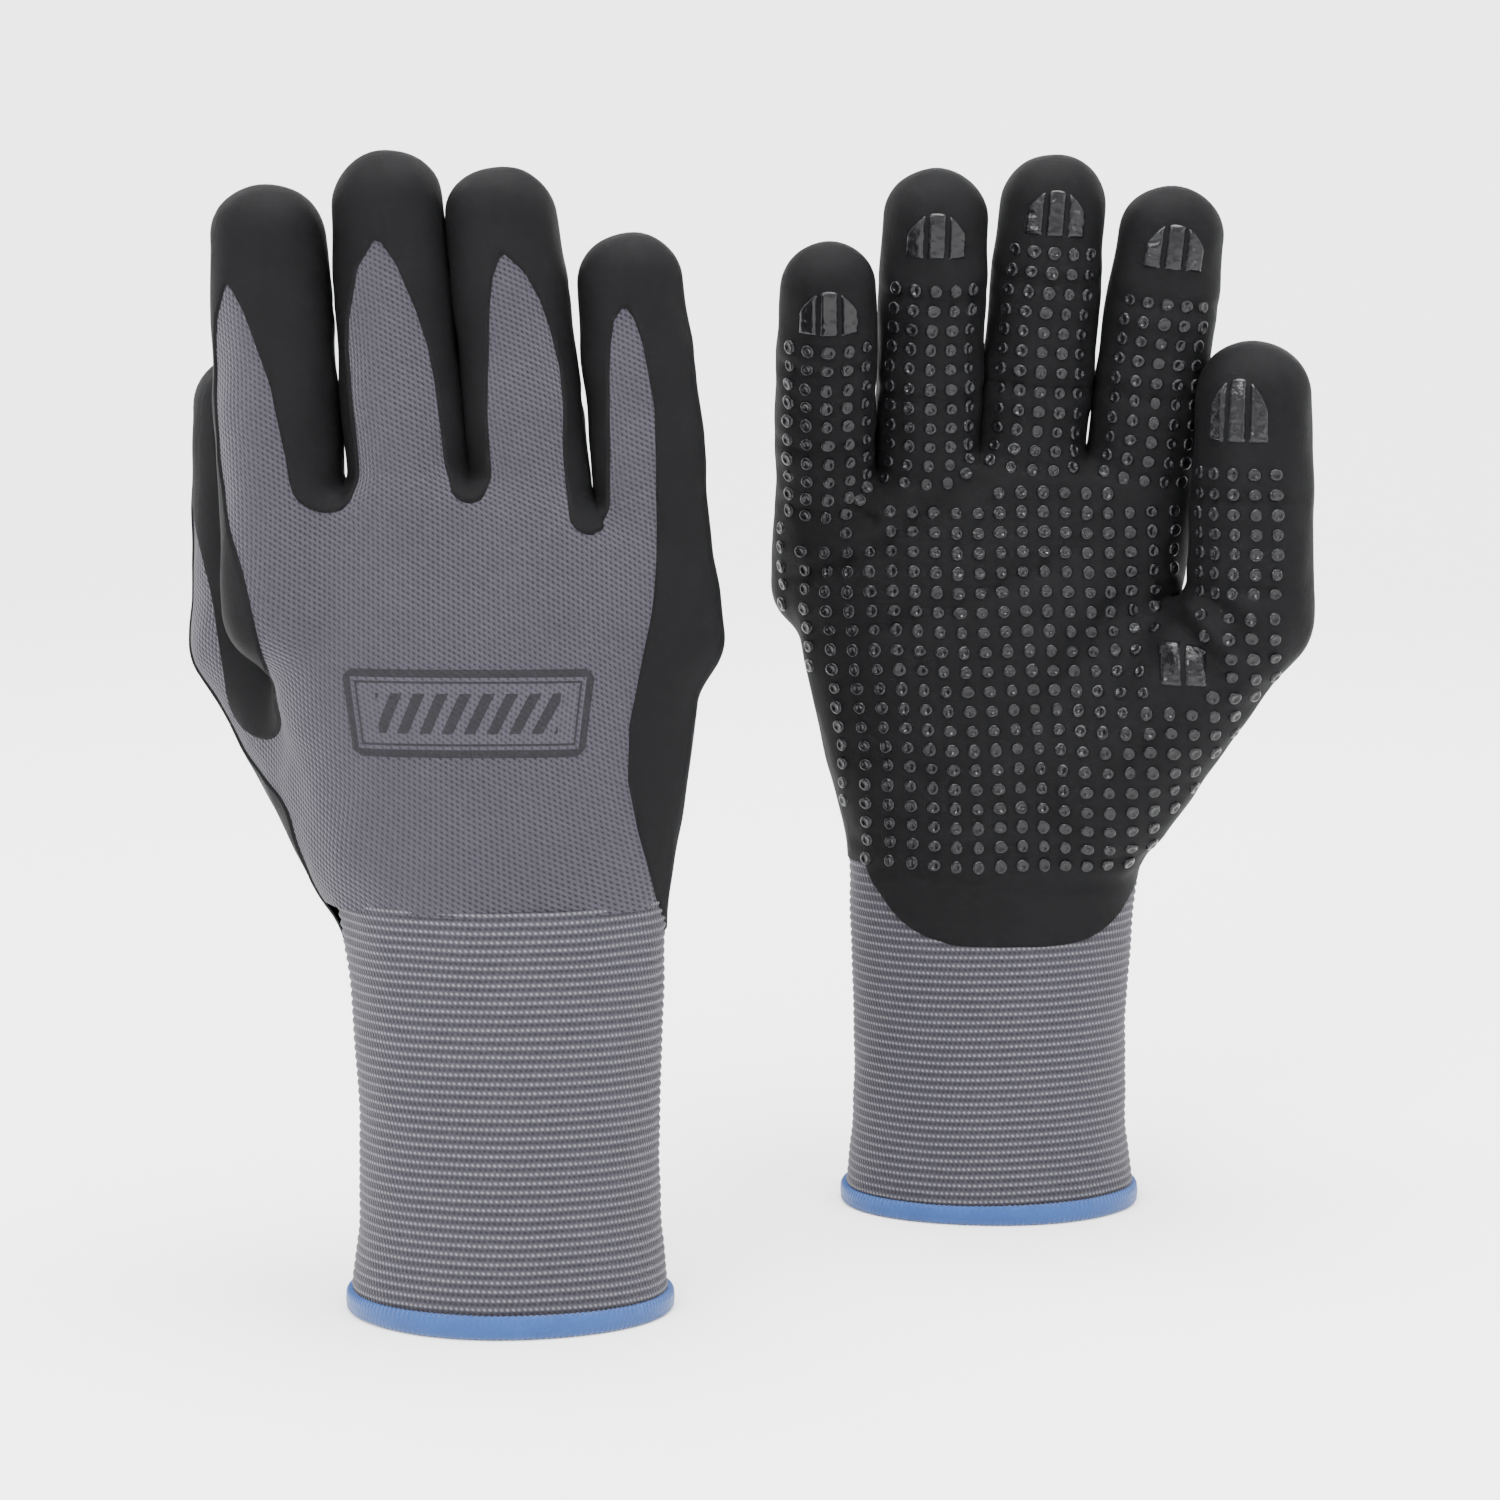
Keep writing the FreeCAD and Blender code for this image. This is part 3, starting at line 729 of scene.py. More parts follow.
def build_skin(glove, looks):
    """The knitted liner and its coating: one surface cut along the coating's edge and the seams."""
    points, quads = surface_net(lambda p: glove.field(p, SLIM), *NET_BOX, STEP)
    for _ in range(3):
        points, _ = glove.settle(points, 3)
        points = relax(points, quads, 0.6)
    points, normal = glove.settle(points, 4)
    owner, inside = owners(glove, points)
    cover = coating(glove, points, owner, inside)
    over_root = np.full(len(points), -5.0)
    over_mid = np.full(len(points), -5.0)
    for limb, mine, q in shares(glove, owner, inside):
        over_root[mine] = np.clip(q[:, 2] - limb.seam, -5, 5)
        over_mid[mine] = np.clip(q[:, 2] - mid_seam(limb), -5, 5)
    raised = relief(glove, points, normal, owner, inside)
    knit_uv = knit_chart(glove, points, quads, normal, cover, owner, inside)
    foam_uv = unroll(glove, points, owner, inside, False)
    over_cuff = points[:, 2] - CUFF_TOP + 1.2
    columns = [points, normal, cover, cover - EDGE_ROLL, over_root, over_mid, over_cuff, owner, raised,
               knit_uv, foam_uv]
    data = np.concatenate([c if c.ndim == 2 else c[:, None] for c in columns], axis=1)
    triangles = triangles_of(points, quads)
    for column in (COVER, ROLLED, OVER_ROOT, OVER_MID, OVER_CUFF):
        data, triangles = cut(data, triangles, column)
    points, normal = data[:, 0:3], data[:, 3:6]
    normal = normal / np.linalg.norm(normal, axis=1)[:, None]
    lift = COAT * smoothstep(0, EDGE_ROLL, data[:, COVER]) + data[:, RAISED]
    points = glove.outward(points + normal * lift[:, None])
    normals = vertex_normals(points, triangles)
    middle = data[triangles].mean(axis=1)
    coated = middle[:, COVER] > 0
    above_cuff = middle[:, OVER_CUFF] > 0
    segment = np.where(middle[:, OVER_ROOT] < 0, 0, np.where(middle[:, OVER_MID] < 0, 1, 2))
    limb_of = np.rint(np.median(data[triangles][:, :, OWNER], axis=1)).astype(int)
    for coat in (True, False):
        uv = data[:, FOAM_UV] if coat else data[:, KNIT_UV]
        pick = (coated == coat) & (segment == 0) & (coated | above_cuff)
        name = f"{glove.name}_{'palm_coating' if coat else 'hand_liner'}_skin"
        piece = skin_piece(name, points, triangles[pick], uv, normals, looks, coat)
        if coat:
            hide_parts(f"{glove.name}_palm_coating", f"{glove.name}_wrist_coating")
        else:
            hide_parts(f"{glove.name}_hand_liner")
        bend_wrist(glove, piece)
        for k, limb in enumerate(glove.all_limbs):
            for part in (1, 2):
                pick = (coated == coat) & (segment == part) & (limb_of == k + 1)
                if not pick.any():
                    continue
                body = "tip" if limb.name == "thumb" or part == 2 else "mid"
                node = f"{glove.name}_{limb.name}_{body}_{'coating' if coat else 'liner'}"
                piece = skin_piece(node + "_skin", points, triangles[pick], uv, normals, looks, coat)
                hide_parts(node)
                bend_fold(glove, limb, 0 if limb.name == "thumb" else part - 1, piece)


def skin_piece(name, points, triangles, uv, normals, looks, coat):
    p, t, u, n = sub_mesh(points, triangles, uv, normals)
    look, slot = (looks["foam"], "nitrile_foam") if coat else (looks["liner"], "liner_knit")
    return make_piece(name, p, t, look, u, n)


# ---------------------------------------------------------------- cuff

def ring_points(glove, z, grow, count):
    """Points round the sleeve at given heights, one row for each."""
    angle = np.linspace(0, 2 * np.pi, count, endpoint=False)
    centre, wide, deep, _ = glove.section(np.atleast_1d(z))
    x = centre[:, None] + (wide + grow)[:, None] * np.sin(angle)
    y = (deep + grow)[:, None] * np.cos(angle)
    return np.stack([x, y, np.repeat(np.atleast_1d(z)[:, None], count, 1)], axis=-1)


def tube_faces(rows, count, closed=False):
    """Quads between successive rings of vertices."""
    i = np.arange(rows if closed else rows - 1)[:, None]
    j = np.arange(count)[None, :]
    a, b = i * count + j, i * count + (j + 1) % count
    c, d = ((i + 1) % rows) * count + (j + 1) % count, ((i + 1) % rows) * count + j
    return np.stack([a, b, c, d], axis=-1).reshape(-1, 4)


def ways_out(angle):
    """Directions square to the flattened cuff, at angles round it."""
    away = np.stack([np.sin(angle), np.cos(angle) * 1.2, 0 * angle], axis=1)
    return away / np.linalg.norm(away, axis=1)[:, None]


def cuff_wave(angle):
    """The courses rise and fall a little round the cuff."""
    return 0.55 * np.sin(angle + 0.8) + 0.35 * np.sin(2 * angle + 2.1)


def build_cuff(glove, looks):
    """The knitted cuff: raised elastic rows outside, a plain wall inside."""
    count = 180
    heights = np.arange(3.0, CUFF_TOP + 0.2, COURSE / 6)
    angle = np.linspace(0, 2 * np.pi, count, endpoint=False)
    outer = ring_points(glove, heights, np.zeros(len(heights)), count)
    wave = cuff_wave(angle)[None, :] * smoothstep(90, 70, heights)[:, None]
    ridge = 0.2 * np.cos(2 * np.pi * heights / COURSE)[:, None] * np.ones(count)
    flat = outer.reshape(-1, 3)
    swell = (0.3 * ripple(flat, 30, 11) + 0.1 * ripple(flat, 11, 12)).reshape(outer.shape[:2])
    pleat = 0.3 * np.sin(9 * angle)[None, :] * bump(heights, 84, 9)[:, None]
    away = ways_out(angle)
    cover = coating(glove, flat, *owners(glove, flat)).reshape(outer.shape[:2])
    tuck = 0.9 * smoothstep(0.5, 3.0, cover)
    outer = outer + away[None] * (ridge + swell + pleat - tuck)[..., None]
    outer[..., 2] += wave
    inner = outer[::6] - away[None] * 1.1
    half_wide, half_deep = 33.0, 21.5
    girth = 2 * np.pi * np.sqrt((half_wide ** 2 + half_deep ** 2) / 2)
    for label, rows, inward in (("cuff_knit_skin", outer, False), ("cuff_lining_skin", inner, True)):
        round_way, up_way = np.meshgrid(angle / (2 * np.pi) * girth, heights[::6] if inward else heights)
        uv = np.stack([round_way.ravel(), up_way.ravel()], axis=1)
        faces = tube_faces(len(rows), count)
        if inward:
            faces = faces[:, ::-1]
        points = glove.outward(rows.reshape(-1, 3))
        piece = make_piece(f"{glove.name}_{label}", points, faces, looks["cuff"], uv)
        fix_seam_uv(piece, girth)
        if not inward:
            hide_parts(f"{glove.name}_cuff_knit")
        bend_wrist(glove, piece)


def fix_seam_uv(piece, girth):
    """Carries the texture's round coordinate over the join instead of back across the whole cuff."""
    layer = piece.data.uv_layers[0]
    values = np.zeros(len(layer.data) * 2, np.float32)
    layer.data.foreach_get("uv", values)
    corners = values.reshape(-1, 4, 2)
    wide = corners[:, :, 0].max(axis=1) - corners[:, :, 0].min(axis=1) > girth / 2
    low = corners[:, :, 0] < girth / 2
    corners[:, :, 0] += girth * (low & wide[:, None])
    layer.data.foreach_set("uv", corners.ravel())


def build_elastic(glove, looks):
    """Covered elastic yarns inside the cuff, one behind each row."""
    count, sides, thick, inset = 90, 5, 0.32, 1.75
    points, faces = [], []
    angle = np.linspace(0, 2 * np.pi, count, endpoint=False)
    for row, z in enumerate(np.arange(8 * COURSE, 68.0, COURSE)):
        path = ring_points(glove, z, np.array([-inset]), count)[0]
        path[:, 2] += cuff_wave(angle)
        away = np.stack([np.sin(angle), np.cos(angle), 0 * angle], axis=1)
        loop = [path + thick * (math.cos(t) * away + math.sin(t) * np.array([0, 0, 1]))
                for t in np.linspace(0, 2 * np.pi, sides, endpoint=False)]
        points.append(np.concatenate(loop))
        faces.append(tube_faces(sides, count, closed=True) + row * sides * count)
    points = glove.outward(np.concatenate(points))
    faces = np.concatenate(faces)
    piece = make_piece(f"{glove.name}_cuff_elastic_yarn", points, faces, looks["elastic"])
    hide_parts(f"{glove.name}_cuff_elastic")
    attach(piece, f"{glove.name}_cuff")


def build_hem(glove, looks):
    """The overlocked edge: slanting stitches wrapped over the cuff's foot."""
    stitches, per_stitch = 168, 6
    count = stitches * per_stitch
    angle = np.linspace(0, 2 * np.pi, count, endpoint=False)
    # How far out from the cuff's wall, and how far up, round the hem's section.
    profile = [(0.75, 4.6), (1.15, 3.9), (1.3, 2.4), (1.15, 0.9), (0.6, 0.15), (-0.4, 0.0), (-1.3, 0.25),
               (-1.9, 1.0), (-2.0, 2.4), (-1.8, 3.8), (-1.3, 4.5)]
    rows = []
    base = ring_points(glove, np.array([4.0]), np.array([0.0]), count)[0]
    away = ways_out(angle)
    for out, up in profile:
        phase = stitches * angle + 1.5 * up
        ridge = 0.28 * np.abs(np.sin(phase / 2)) - 0.12
        scallop = 0.25 * np.abs(np.sin(phase / 2)) if up > 3.5 else 0.0
        flare = 0.35 * np.sin(3 * angle + 1.0) + 0.25 * np.sin(5 * angle)
        row = base + away * (out + (ridge if out > -1 else -ridge) + flare * (up < 2.5) * 0.5)[:, None]
        row[:, 2] = up + scallop + cuff_wave(angle) * 0.6 * min(up / 4, 1)
        rows.append(row)
    points = glove.outward(np.concatenate(rows))
    faces = tube_faces(len(rows), count, closed=True)[:, ::-1]
    piece = make_piece(f"{glove.name}_hem_overlock_stitching", points, faces, looks["hem"])
    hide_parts(f"{glove.name}_hem_overlock")
    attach(piece, f"{glove.name}_cuff")


# ---------------------------------------------------------------- raised print

def on_surface(glove, guess):
    """The cloth's surface nearest to a guess, folds and coating included, with its direction."""
    p, normal = glove.settle(guess, 6)
    owner, inside = owners(glove, p)
    raised = relief(glove, p, normal, owner, inside)
    cover = coating(glove, p, owner, inside)
    lift = raised + COAT * smoothstep(0, EDGE_ROLL, cover)
    return p + normal * lift[:, None], normal, cover, owner


DOT_PROFILE = [(1.0, -0.5), (1.0, 0.12), (0.9, 0.42), (0.72, 0.6), (0.52, 0.56), (0.32, 0.36), (0.0, 0.28)]


def dots_mesh(centres, normals, sizes):
    """Low domes with a small crater, one at each centre."""
    sides = 14
    angle = np.linspace(0, 2 * np.pi, sides, endpoint=False)
    points, faces = [], []
    start = 0
    for centre, normal, size in zip(centres, normals, sizes):
        across = np.cross([0, 0, 1.0], normal)
        across /= max(np.linalg.norm(across), 1e-6)
        along = np.cross(normal, across)
        squash = rng.uniform(0.92, 1.08)
        lean = rng.normal(0, 0.05, 2)
        rings = []
        for radius, height in DOT_PROFILE[:-1]:
            r = radius * size * (1 + 0.03 * np.sin(3 * angle + rng.uniform(0, 6)))
            x, y = r * np.cos(angle) * squash, r * np.sin(angle) / squash
            h = height + lean[0] * x + lean[1] * y
            rings.append(centre + x[:, None] * across + y[:, None] * along + h[:, None] * normal)
        rings.append((centre + DOT_PROFILE[-1][1] * normal)[None])
        points += rings
        count = len(DOT_PROFILE) - 1
        last = start + (count - 1) * sides
        tip = last + sides
        faces += (tube_faces(count, sides) + start).tolist()
        faces += [(last + k, last + (k + 1) % sides, tip) for k in range(sides)]
        start = tip + 1
    return np.concatenate(points), faces


def palm_dots(glove, taken):
    """Places of the dots over the palm and the thumb's root, away from the dots already there."""
    guesses = []
    for row, z in enumerate(np.arange(86.0, 186.0, DOT_PITCH[1])):
        for x in glove.across(np.arange(-70.0, 70.0, DOT_PITCH[0]) + 0.6 * np.sin(row * 0.35), z):
            guesses.append((x, PALM_SIDE, z + 0.3 * np.sin(x * 0.2)))
    p = drop_on(glove, np.array(guesses), 1.0)
    p = p[(p[:, 1] < 4) & (np.abs(glove.field(p)) < 0.5)]
    place, normal, cover, owner = on_surface(glove, p)
    heights = np.stack([limb.into(place)[:, 2] for limb in glove.all_limbs])
    height = np.where(owner > 0, np.choose(np.maximum(owner - 1, 0), heights), -20)
    keep = (cover > 2.2) & (normal[:, 1] < -0.42) & (height < -1.5) & (place[:, 2] > 83)
    patch = crotch_patch_place(glove)
    keep &= np.hypot(place[:, 0] - patch[0], place[:, 2] - patch[2]) > PATCH_CLEAR
    keep &= np.linalg.norm(place[:, None] - taken[None], axis=2).min(axis=1) > DOT_CLEAR
    return place[keep], normal[keep]


def drop_on(glove, p, way):
    """Moves points along Y until they lie on the glove, from the palm side or from the back."""
    for _ in range(70):
        p[:, 1] += way * np.clip(glove.field(p), 0, 4) * 0.9
    return p


def patch_tall(limb):
    return 15.0 if limb.name == "thumb" else 10.8


def limb_dots(glove, limb):
    """Columns of dots up the palm side of a finger, with each dot's height."""
    columns = np.array([-9.6, -4.8, 0.0, 4.8, 9.6])
    top = limb.length - PATCH_DROP - patch_tall(limb) - 3.5
    guesses = []
    for z in np.arange(0.5, top, DOT_PITCH[1]):
        for arc in columns + 0.4 * np.sin(z * 0.15):
            turn = arc / limb.radius
            radius = float(limb.girth(np.array(z)))
            guesses.append((radius * math.sin(turn), -radius * math.cos(turn), z))
    place, normal, cover, owner = on_surface(glove, limb.out(np.array(guesses)))
    keep = (cover > 2.0) & (owner == glove.all_limbs.index(limb) + 1)
    return place[keep], normal[keep], limb.into(place[keep])[:, 2]


def crotch_patch_place(glove):
    return glove.thumb_base * 0.35 + glove.thumb.root * 0.65 + np.array([-5.0, 0, 0])


def dot_piece(glove, name, place, normal, looks):
    sizes = DOT_RADIUS * rng.uniform(0.93, 1.07, len(place))
    points, faces = dots_mesh(place, normal, sizes)
    return make_piece(name, glove.outward(points), faces, looks["gloss"])


def grid_faces(rows, columns):
    i, j = np.meshgrid(np.arange(rows - 1), np.arange(columns - 1), indexing="ij")
    a = (i * columns + j).ravel()
    return np.stack([a, a + 1, a + columns + 1, a + columns], axis=1)


def bars(glove, name, spans, foot, head, guess, looks):
    """Raised bars with soft shoulders, each between two sides and from a foot to a head line. guess gives a
    place near the cloth for each place on the flat print."""
    columns, rows = 13, 25
    s, t = (m.ravel() for m in np.meshgrid(np.linspace(0, 1, columns), np.linspace(0, 1, rows)))
    points, faces = [], []
    for order, (left, right) in enumerate(spans):
        across = left + (right - left) * s
        tall = head(across) - foot
        flat = np.stack([across, foot + tall * t], axis=1)
        place, normal, _, _ = on_surface(glove, guess(flat))
        rim = np.minimum(np.minimum(s, 1 - s) * (right - left), np.minimum(t, 1 - t) * tall)
        height = 0.62 * smoothstep(0, 0.7, rim) - 0.25 * smoothstep(0.12, 0, rim)
        height = height * (1 + 0.2 * ripple(place, 1.9, 21))
        points.append(place + normal * height[:, None])
        faces.append(grid_faces(rows, columns) + order * rows * columns)
    points = glove.outward(np.concatenate(points))
    return make_piece(name, points, np.concatenate(faces), looks["gloss"])


def tip_patch(glove, limb, looks):
    """The gloss patch on a fingertip's pad: three upright bars under one domed outline."""
    half_wide, top = 7.6, limb.length - PATCH_DROP
    foot = top - patch_tall(limb)

    def guess(flat):
        turn = flat[:, 0] / limb.radius
        radius = limb.girth(flat[:, 1])
        return limb.out(np.stack([radius * np.sin(turn), -radius * np.cos(turn), flat[:, 1]], axis=1))

    def head(across):
        return foot + (top - foot) * np.sqrt(np.maximum(1 - (across / (half_wide + 0.8)) ** 2, 0.05))

    spans = ((-half_wide, -2.9), (-2.3, 2.3), (2.9, half_wide))
    node = f"{glove.name}_{limb.name}_tip_patch"
    piece = bars(glove, f"{node}_print", spans, foot, head, guess, looks)
    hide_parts(node)
    bend_fold(glove, limb, len(limb.spec["folds"]) - 1, piece)


def build_print(glove, looks):
    """The gloss dots and patches of the palm side."""
    taken = []
    for limb in glove.all_limbs:
        place, normal, height = limb_dots(glove, limb)
        taken.append(place)
        seam = mid_seam(limb)
        for order, pick in enumerate((height < seam, height >= seam)):
            if not pick.any():
                continue
            name = f"{glove.name}_{limb.name}_grip_dots_{'low' if order == 0 else 'high'}"
            bend_fold(glove, limb, order, dot_piece(glove, name, place[pick], normal[pick], looks))
        tip_patch(glove, limb, looks)
    place, normal = palm_dots(glove, np.concatenate(taken))
    piece = dot_piece(glove, f"{glove.name}_palm_grip_dots", place, normal, looks)
    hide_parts(f"{glove.name}_palm_grip_print")
    bend_wrist(glove, piece)
    crotch_patch(glove, looks)


def crotch_patch(glove, looks):
    """The rounded two-lobed patch beside the thumb's crotch."""
    centre = crotch_patch_place(glove)
    half = 5.2

    def guess(flat):
        x, z = centre[0] + flat[:, 0], centre[2] + flat[:, 1]
        return drop_on(glove, np.stack([x, np.full(len(flat), PALM_SIDE), z], axis=1), 1.0)

    def head(across):
        return half - 1.6 * (np.abs(across) / half) ** 3

    spans = ((-half, -0.3), (0.3, half))
    piece = bars(glove, f"{glove.name}_thumb_crotch_patch", spans, -half + 0.4, head, guess, looks)
    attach(piece, f"{glove.name}_hand")


def build_badge(glove, looks):
    """A plain printed panel on the back of the hand, with no lettering."""
    columns, rows = 73, 31
    half_wide, half_tall = BADGE_HALF
    sides = [np.linspace(-half, half, count) for half, count in ((half_wide, columns), (half_tall, rows))]
    flat = np.stack(np.meshgrid(*sides), axis=-1).reshape(-1, 2)
    limit = np.array(BADGE_HALF) - BADGE_CORNER
    inner = np.clip(flat, -limit, limit)
    far = np.linalg.norm(flat - inner, axis=1)
    flat = inner + (flat - inner) * (BADGE_CORNER / np.maximum(far, BADGE_CORNER))[:, None]
    narrow = 1 - 0.09 * (0.5 - flat[:, 1] / (2 * half_tall))  # its foot is narrower than its head
    across, height = BADGE_MIDDLE
    x, z = glove.across(across, height) + flat[:, 0] * narrow, height + flat[:, 1]
    p = np.stack([x, np.full(len(flat), BACK_SIDE), z], axis=1)
    place, normal, _, _ = on_surface(glove, drop_on(glove, p, -1.0))
    border = np.minimum(half_wide - np.abs(flat[:, 0]), half_tall - np.abs(flat[:, 1]))
    place = place + normal * (-0.12 + 0.27 * smoothstep(0, 0.5, border))[:, None]
    faces = grid_faces(rows, columns)[:, ::-1]
    points = glove.outward(place)
    piece = make_piece(f"{glove.name}_back_badge", points, faces, looks["badge"], flat)
    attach(piece, f"{glove.name}_hand")


# ---------------------------------------------------------------- materials

class Nodes:
    """Short hands for building a material's node tree."""

    def __init__(self, name):
        self.material = bpy.data.materials.new(name)
        self.material.use_nodes = True
        self.tree = self.material.node_tree
        self.shader = next(n for n in self.tree.nodes if n.type == "BSDF_PRINCIPLED")

    def feed(self, socket, value):
        if isinstance(value, bpy.types.NodeSocket):
            self.tree.links.new(value, socket)
        else:
            socket.default_value = value

    def math(self, operation, a, b=0.0):
        made = self.tree.nodes.new("ShaderNodeMath")
        made.operation = operation
        for socket, value in zip(made.inputs, (a, b)):
            self.feed(socket, value)
        return made.outputs[0]

    def plus(self, a, b):
        return self.math("ADD", a, b)

    def minus(self, a, b):
        return self.math("SUBTRACT", a, b)

    def times(self, a, b):
        return self.math("MULTIPLY", a, b)

    def over(self, a, b):
        return self.math("DIVIDE", a, b)

    def size(self, a):
        return self.math("ABSOLUTE", a)

    def fraction(self, a):
        return self.math("FRACT", a)

    def uv(self):
        """The texture place in millimetres, as two values."""
        split = self.tree.nodes.new("ShaderNodeSeparateXYZ")
        place = self.tree.nodes.new("ShaderNodeUVMap")
        place.uv_map = "knit"
        self.tree.links.new(place.outputs[0], split.inputs[0])
        return split.outputs[0], split.outputs[1]

    def noise(self, scale, detail=3.0):
        made = self.tree.nodes.new("ShaderNodeTexNoise")
        made.inputs["Scale"].default_value = scale
        made.inputs["Detail"].default_value = detail
        place = self.tree.nodes.new("ShaderNodeTexCoord").outputs["Object"]
        self.tree.links.new(place, made.inputs["Vector"])
        return made.outputs["Fac"]

    def mix(self, share, first, second):
        made = self.tree.nodes.new("ShaderNodeMix")
        made.data_type = "RGBA"
        self.feed(made.inputs["Factor"], share)
        colour_inputs = [s for s in made.inputs if s.type == "RGBA"]
        for socket, value in zip(colour_inputs, (first, second)):
            self.feed(socket, value if isinstance(value, bpy.types.NodeSocket) else (*value, 1.0))
        return next(s for s in made.outputs if s.type == "RGBA")

    def bump(self, height, strength, distance):
        made = self.tree.nodes.new("ShaderNodeBump")
        made.inputs["Strength"].default_value = strength
        made.inputs["Distance"].default_value = distance
        self.tree.links.new(height, made.inputs["Height"])
        return made.outputs["Normal"]

    def finish(self, colour, roughness, normal=None, **extra):
        self.feed(self.shader.inputs["Base Color"], colour if isinstance(colour, bpy.types.NodeSocket)
                  else (*colour, 1.0))
        self.feed(self.shader.inputs["Roughness"], roughness)
        if normal is not None:
            self.feed(self.shader.inputs["Normal"], normal)
        for key, value in extra.items():
            self.feed(self.shader.inputs[key.replace("_", " ")], value)
        return self.material


def stitch_holes(m, u, v):
    """The dark holes of a staggered lattice of stitches, whose rows slant inside each column."""
    column = m.over(u, STITCH["wide"])
    index = m.math("FLOOR", column)
    a = m.minus(m.minus(column, index), 0.5)
    half = m.times(m.math("MODULO", m.size(index), 2.0), 0.5)
    rise = m.plus(m.over(v, STITCH["tall"]), half)
    rise = m.plus(rise, m.times(a, STITCH["slant"]))
    b = m.minus(m.fraction(rise), 0.5)
    return oval(m, a, b, *STITCH["hole"])


def oval(m, a, b, wide, tall):
    """One in the middle of a cell, falling softly to nothing."""
    x = m.math("POWER", m.over(m.size(a), wide), 2.0)
    y = m.math("POWER", m.over(m.size(b), tall), 2.0)
    return m.math("POWER", 2.718, m.times(m.plus(x, y), -1.0))


def liner_material():
    m = Nodes("liner_knit")
    u, v = m.uv()
    hole = stitch_holes(m, u, v)
    fuzz = m.noise(1800.0, 2.0)
    patchy = m.noise(60.0, 3.0)
    yarn = m.mix(patchy, (0.025, 0.023, 0.031), (0.039, 0.036, 0.048))
    yarn = m.mix(m.times(fuzz, 0.5), yarn, (0.062, 0.059, 0.074))
    colour = m.mix(hole, yarn, (0.006, 0.005, 0.008))
    height = m.minus(m.times(fuzz, 0.18), hole)
    normal = m.bump(height, 0.9, 0.00045)
    return m.finish(colour, 0.88, normal, Sheen_Weight=0.12, Sheen_Roughness=0.5, Specular_IOR_Level=0.15)


def cuff_material():
    m = Nodes("cuff_knit")
    u, v = m.uv()
    row = m.over(v, COURSE)
    across = m.plus(u, m.times(row, 0.42))
    a = m.minus(m.fraction(across), 0.5)
    b = m.minus(m.fraction(m.plus(row, 0.5)), 0.5)
    slanted = m.minus(a, m.times(b, 0.9))
    bead = oval(m, slanted, b, 0.27, 0.15)
    between = m.minus(m.fraction(row), 0.5)
    pit_place = m.minus(m.fraction(m.plus(across, 0.5)), 0.5)
    pit = oval(m, m.minus(pit_place, m.times(between, 0.9)), between, 0.3, 0.2)
    patchy = m.noise(90.0, 3.0)
    fuzz = m.noise(1500.0, 2.0)
    yarn = m.mix(patchy, (0.022, 0.021, 0.027), (0.033, 0.031, 0.04))
    yarn = m.mix(m.times(fuzz, 0.4), yarn, (0.053, 0.051, 0.063))
    # Painted shade: the recessed pits between the bead rows are darkened in the colour, standing in for shade
    # in the hollows.
    dark = m.mix(m.times(pit, 0.75), yarn, (0.01, 0.009, 0.013))
    # Painted highlight: the raised beads are lightened toward pale grey in the colour, more on some beads
    # than on others.
    painted_bead_highlight = m.times(bead, m.plus(0.62, m.times(m.noise(400.0, 1.0), 0.4)))
    colour = m.mix(painted_bead_highlight, dark, (0.17, 0.17, 0.182))
    height = m.minus(m.times(bead, 0.8), m.times(pit, 0.8))
    height = m.plus(height, m.times(fuzz, 0.15))
    normal = m.bump(height, 0.8, 0.0004)
    return m.finish(colour, 0.85, normal, Sheen_Weight=0.1, Specular_IOR_Level=0.15)


def foam_material():
    m = Nodes("nitrile_foam")
    u, v = m.uv()
    ribs = m.math("SINE", m.times(v, 2 * math.pi / 0.75))
    wales = m.math("SINE", m.times(u, 2 * math.pi / 1.1))
    pores = m.noise(2600.0, 3.0)
    grain = m.noise(700.0, 3.0)
    wide = m.noise(70.0, 3.0)
    height = m.plus(m.times(pores, 0.5), m.times(grain, 0.6))
    height = m.plus(height, m.times(m.plus(ribs, wales), 0.035))
    normal = m.bump(height, 0.45, 0.0003)
    tone = m.mix(m.plus(m.times(wide, 0.6), m.times(pores, 0.4)),
                 (0.003, 0.003, 0.0033), (0.007, 0.007, 0.0075))
    rough = m.plus(0.56, m.times(wide, 0.2))
    return m.finish(tone, rough, normal, Specular_IOR_Level=0.05)


def gloss_material():
    m = Nodes("gloss_print")
    waves = m.noise(900.0, 2.0)
    normal = m.bump(waves, 0.35, 0.0004)
    tone = m.mix(m.noise(120.0, 2.0), (0.003, 0.003, 0.0035), (0.008, 0.008, 0.009))
    return m.finish(tone, 0.16, normal, Specular_IOR_Level=0.22)


def hem_material():
    m = Nodes("hem_yarn")
    fibre = m.noise(1400.0, 3.0)
    patchy = m.noise(150.0, 2.0)
    colour = m.mix(patchy, (0.004, 0.027, 0.12), (0.008, 0.048, 0.18))
    colour = m.mix(m.times(fibre, 0.35), colour, (0.018, 0.075, 0.24))
    normal = m.bump(fibre, 0.5, 0.0003)
    return m.finish(colour, 0.75, normal, Sheen_Weight=0.3, Specular_IOR_Level=0.3)


def elastic_material():
    m = Nodes("elastic")
    fibre = m.noise(900.0, 2.0)
    colour = m.mix(fibre, (0.45, 0.45, 0.47), (0.68, 0.68, 0.7))
    return m.finish(colour, 0.7, m.bump(fibre, 0.4, 0.0002))


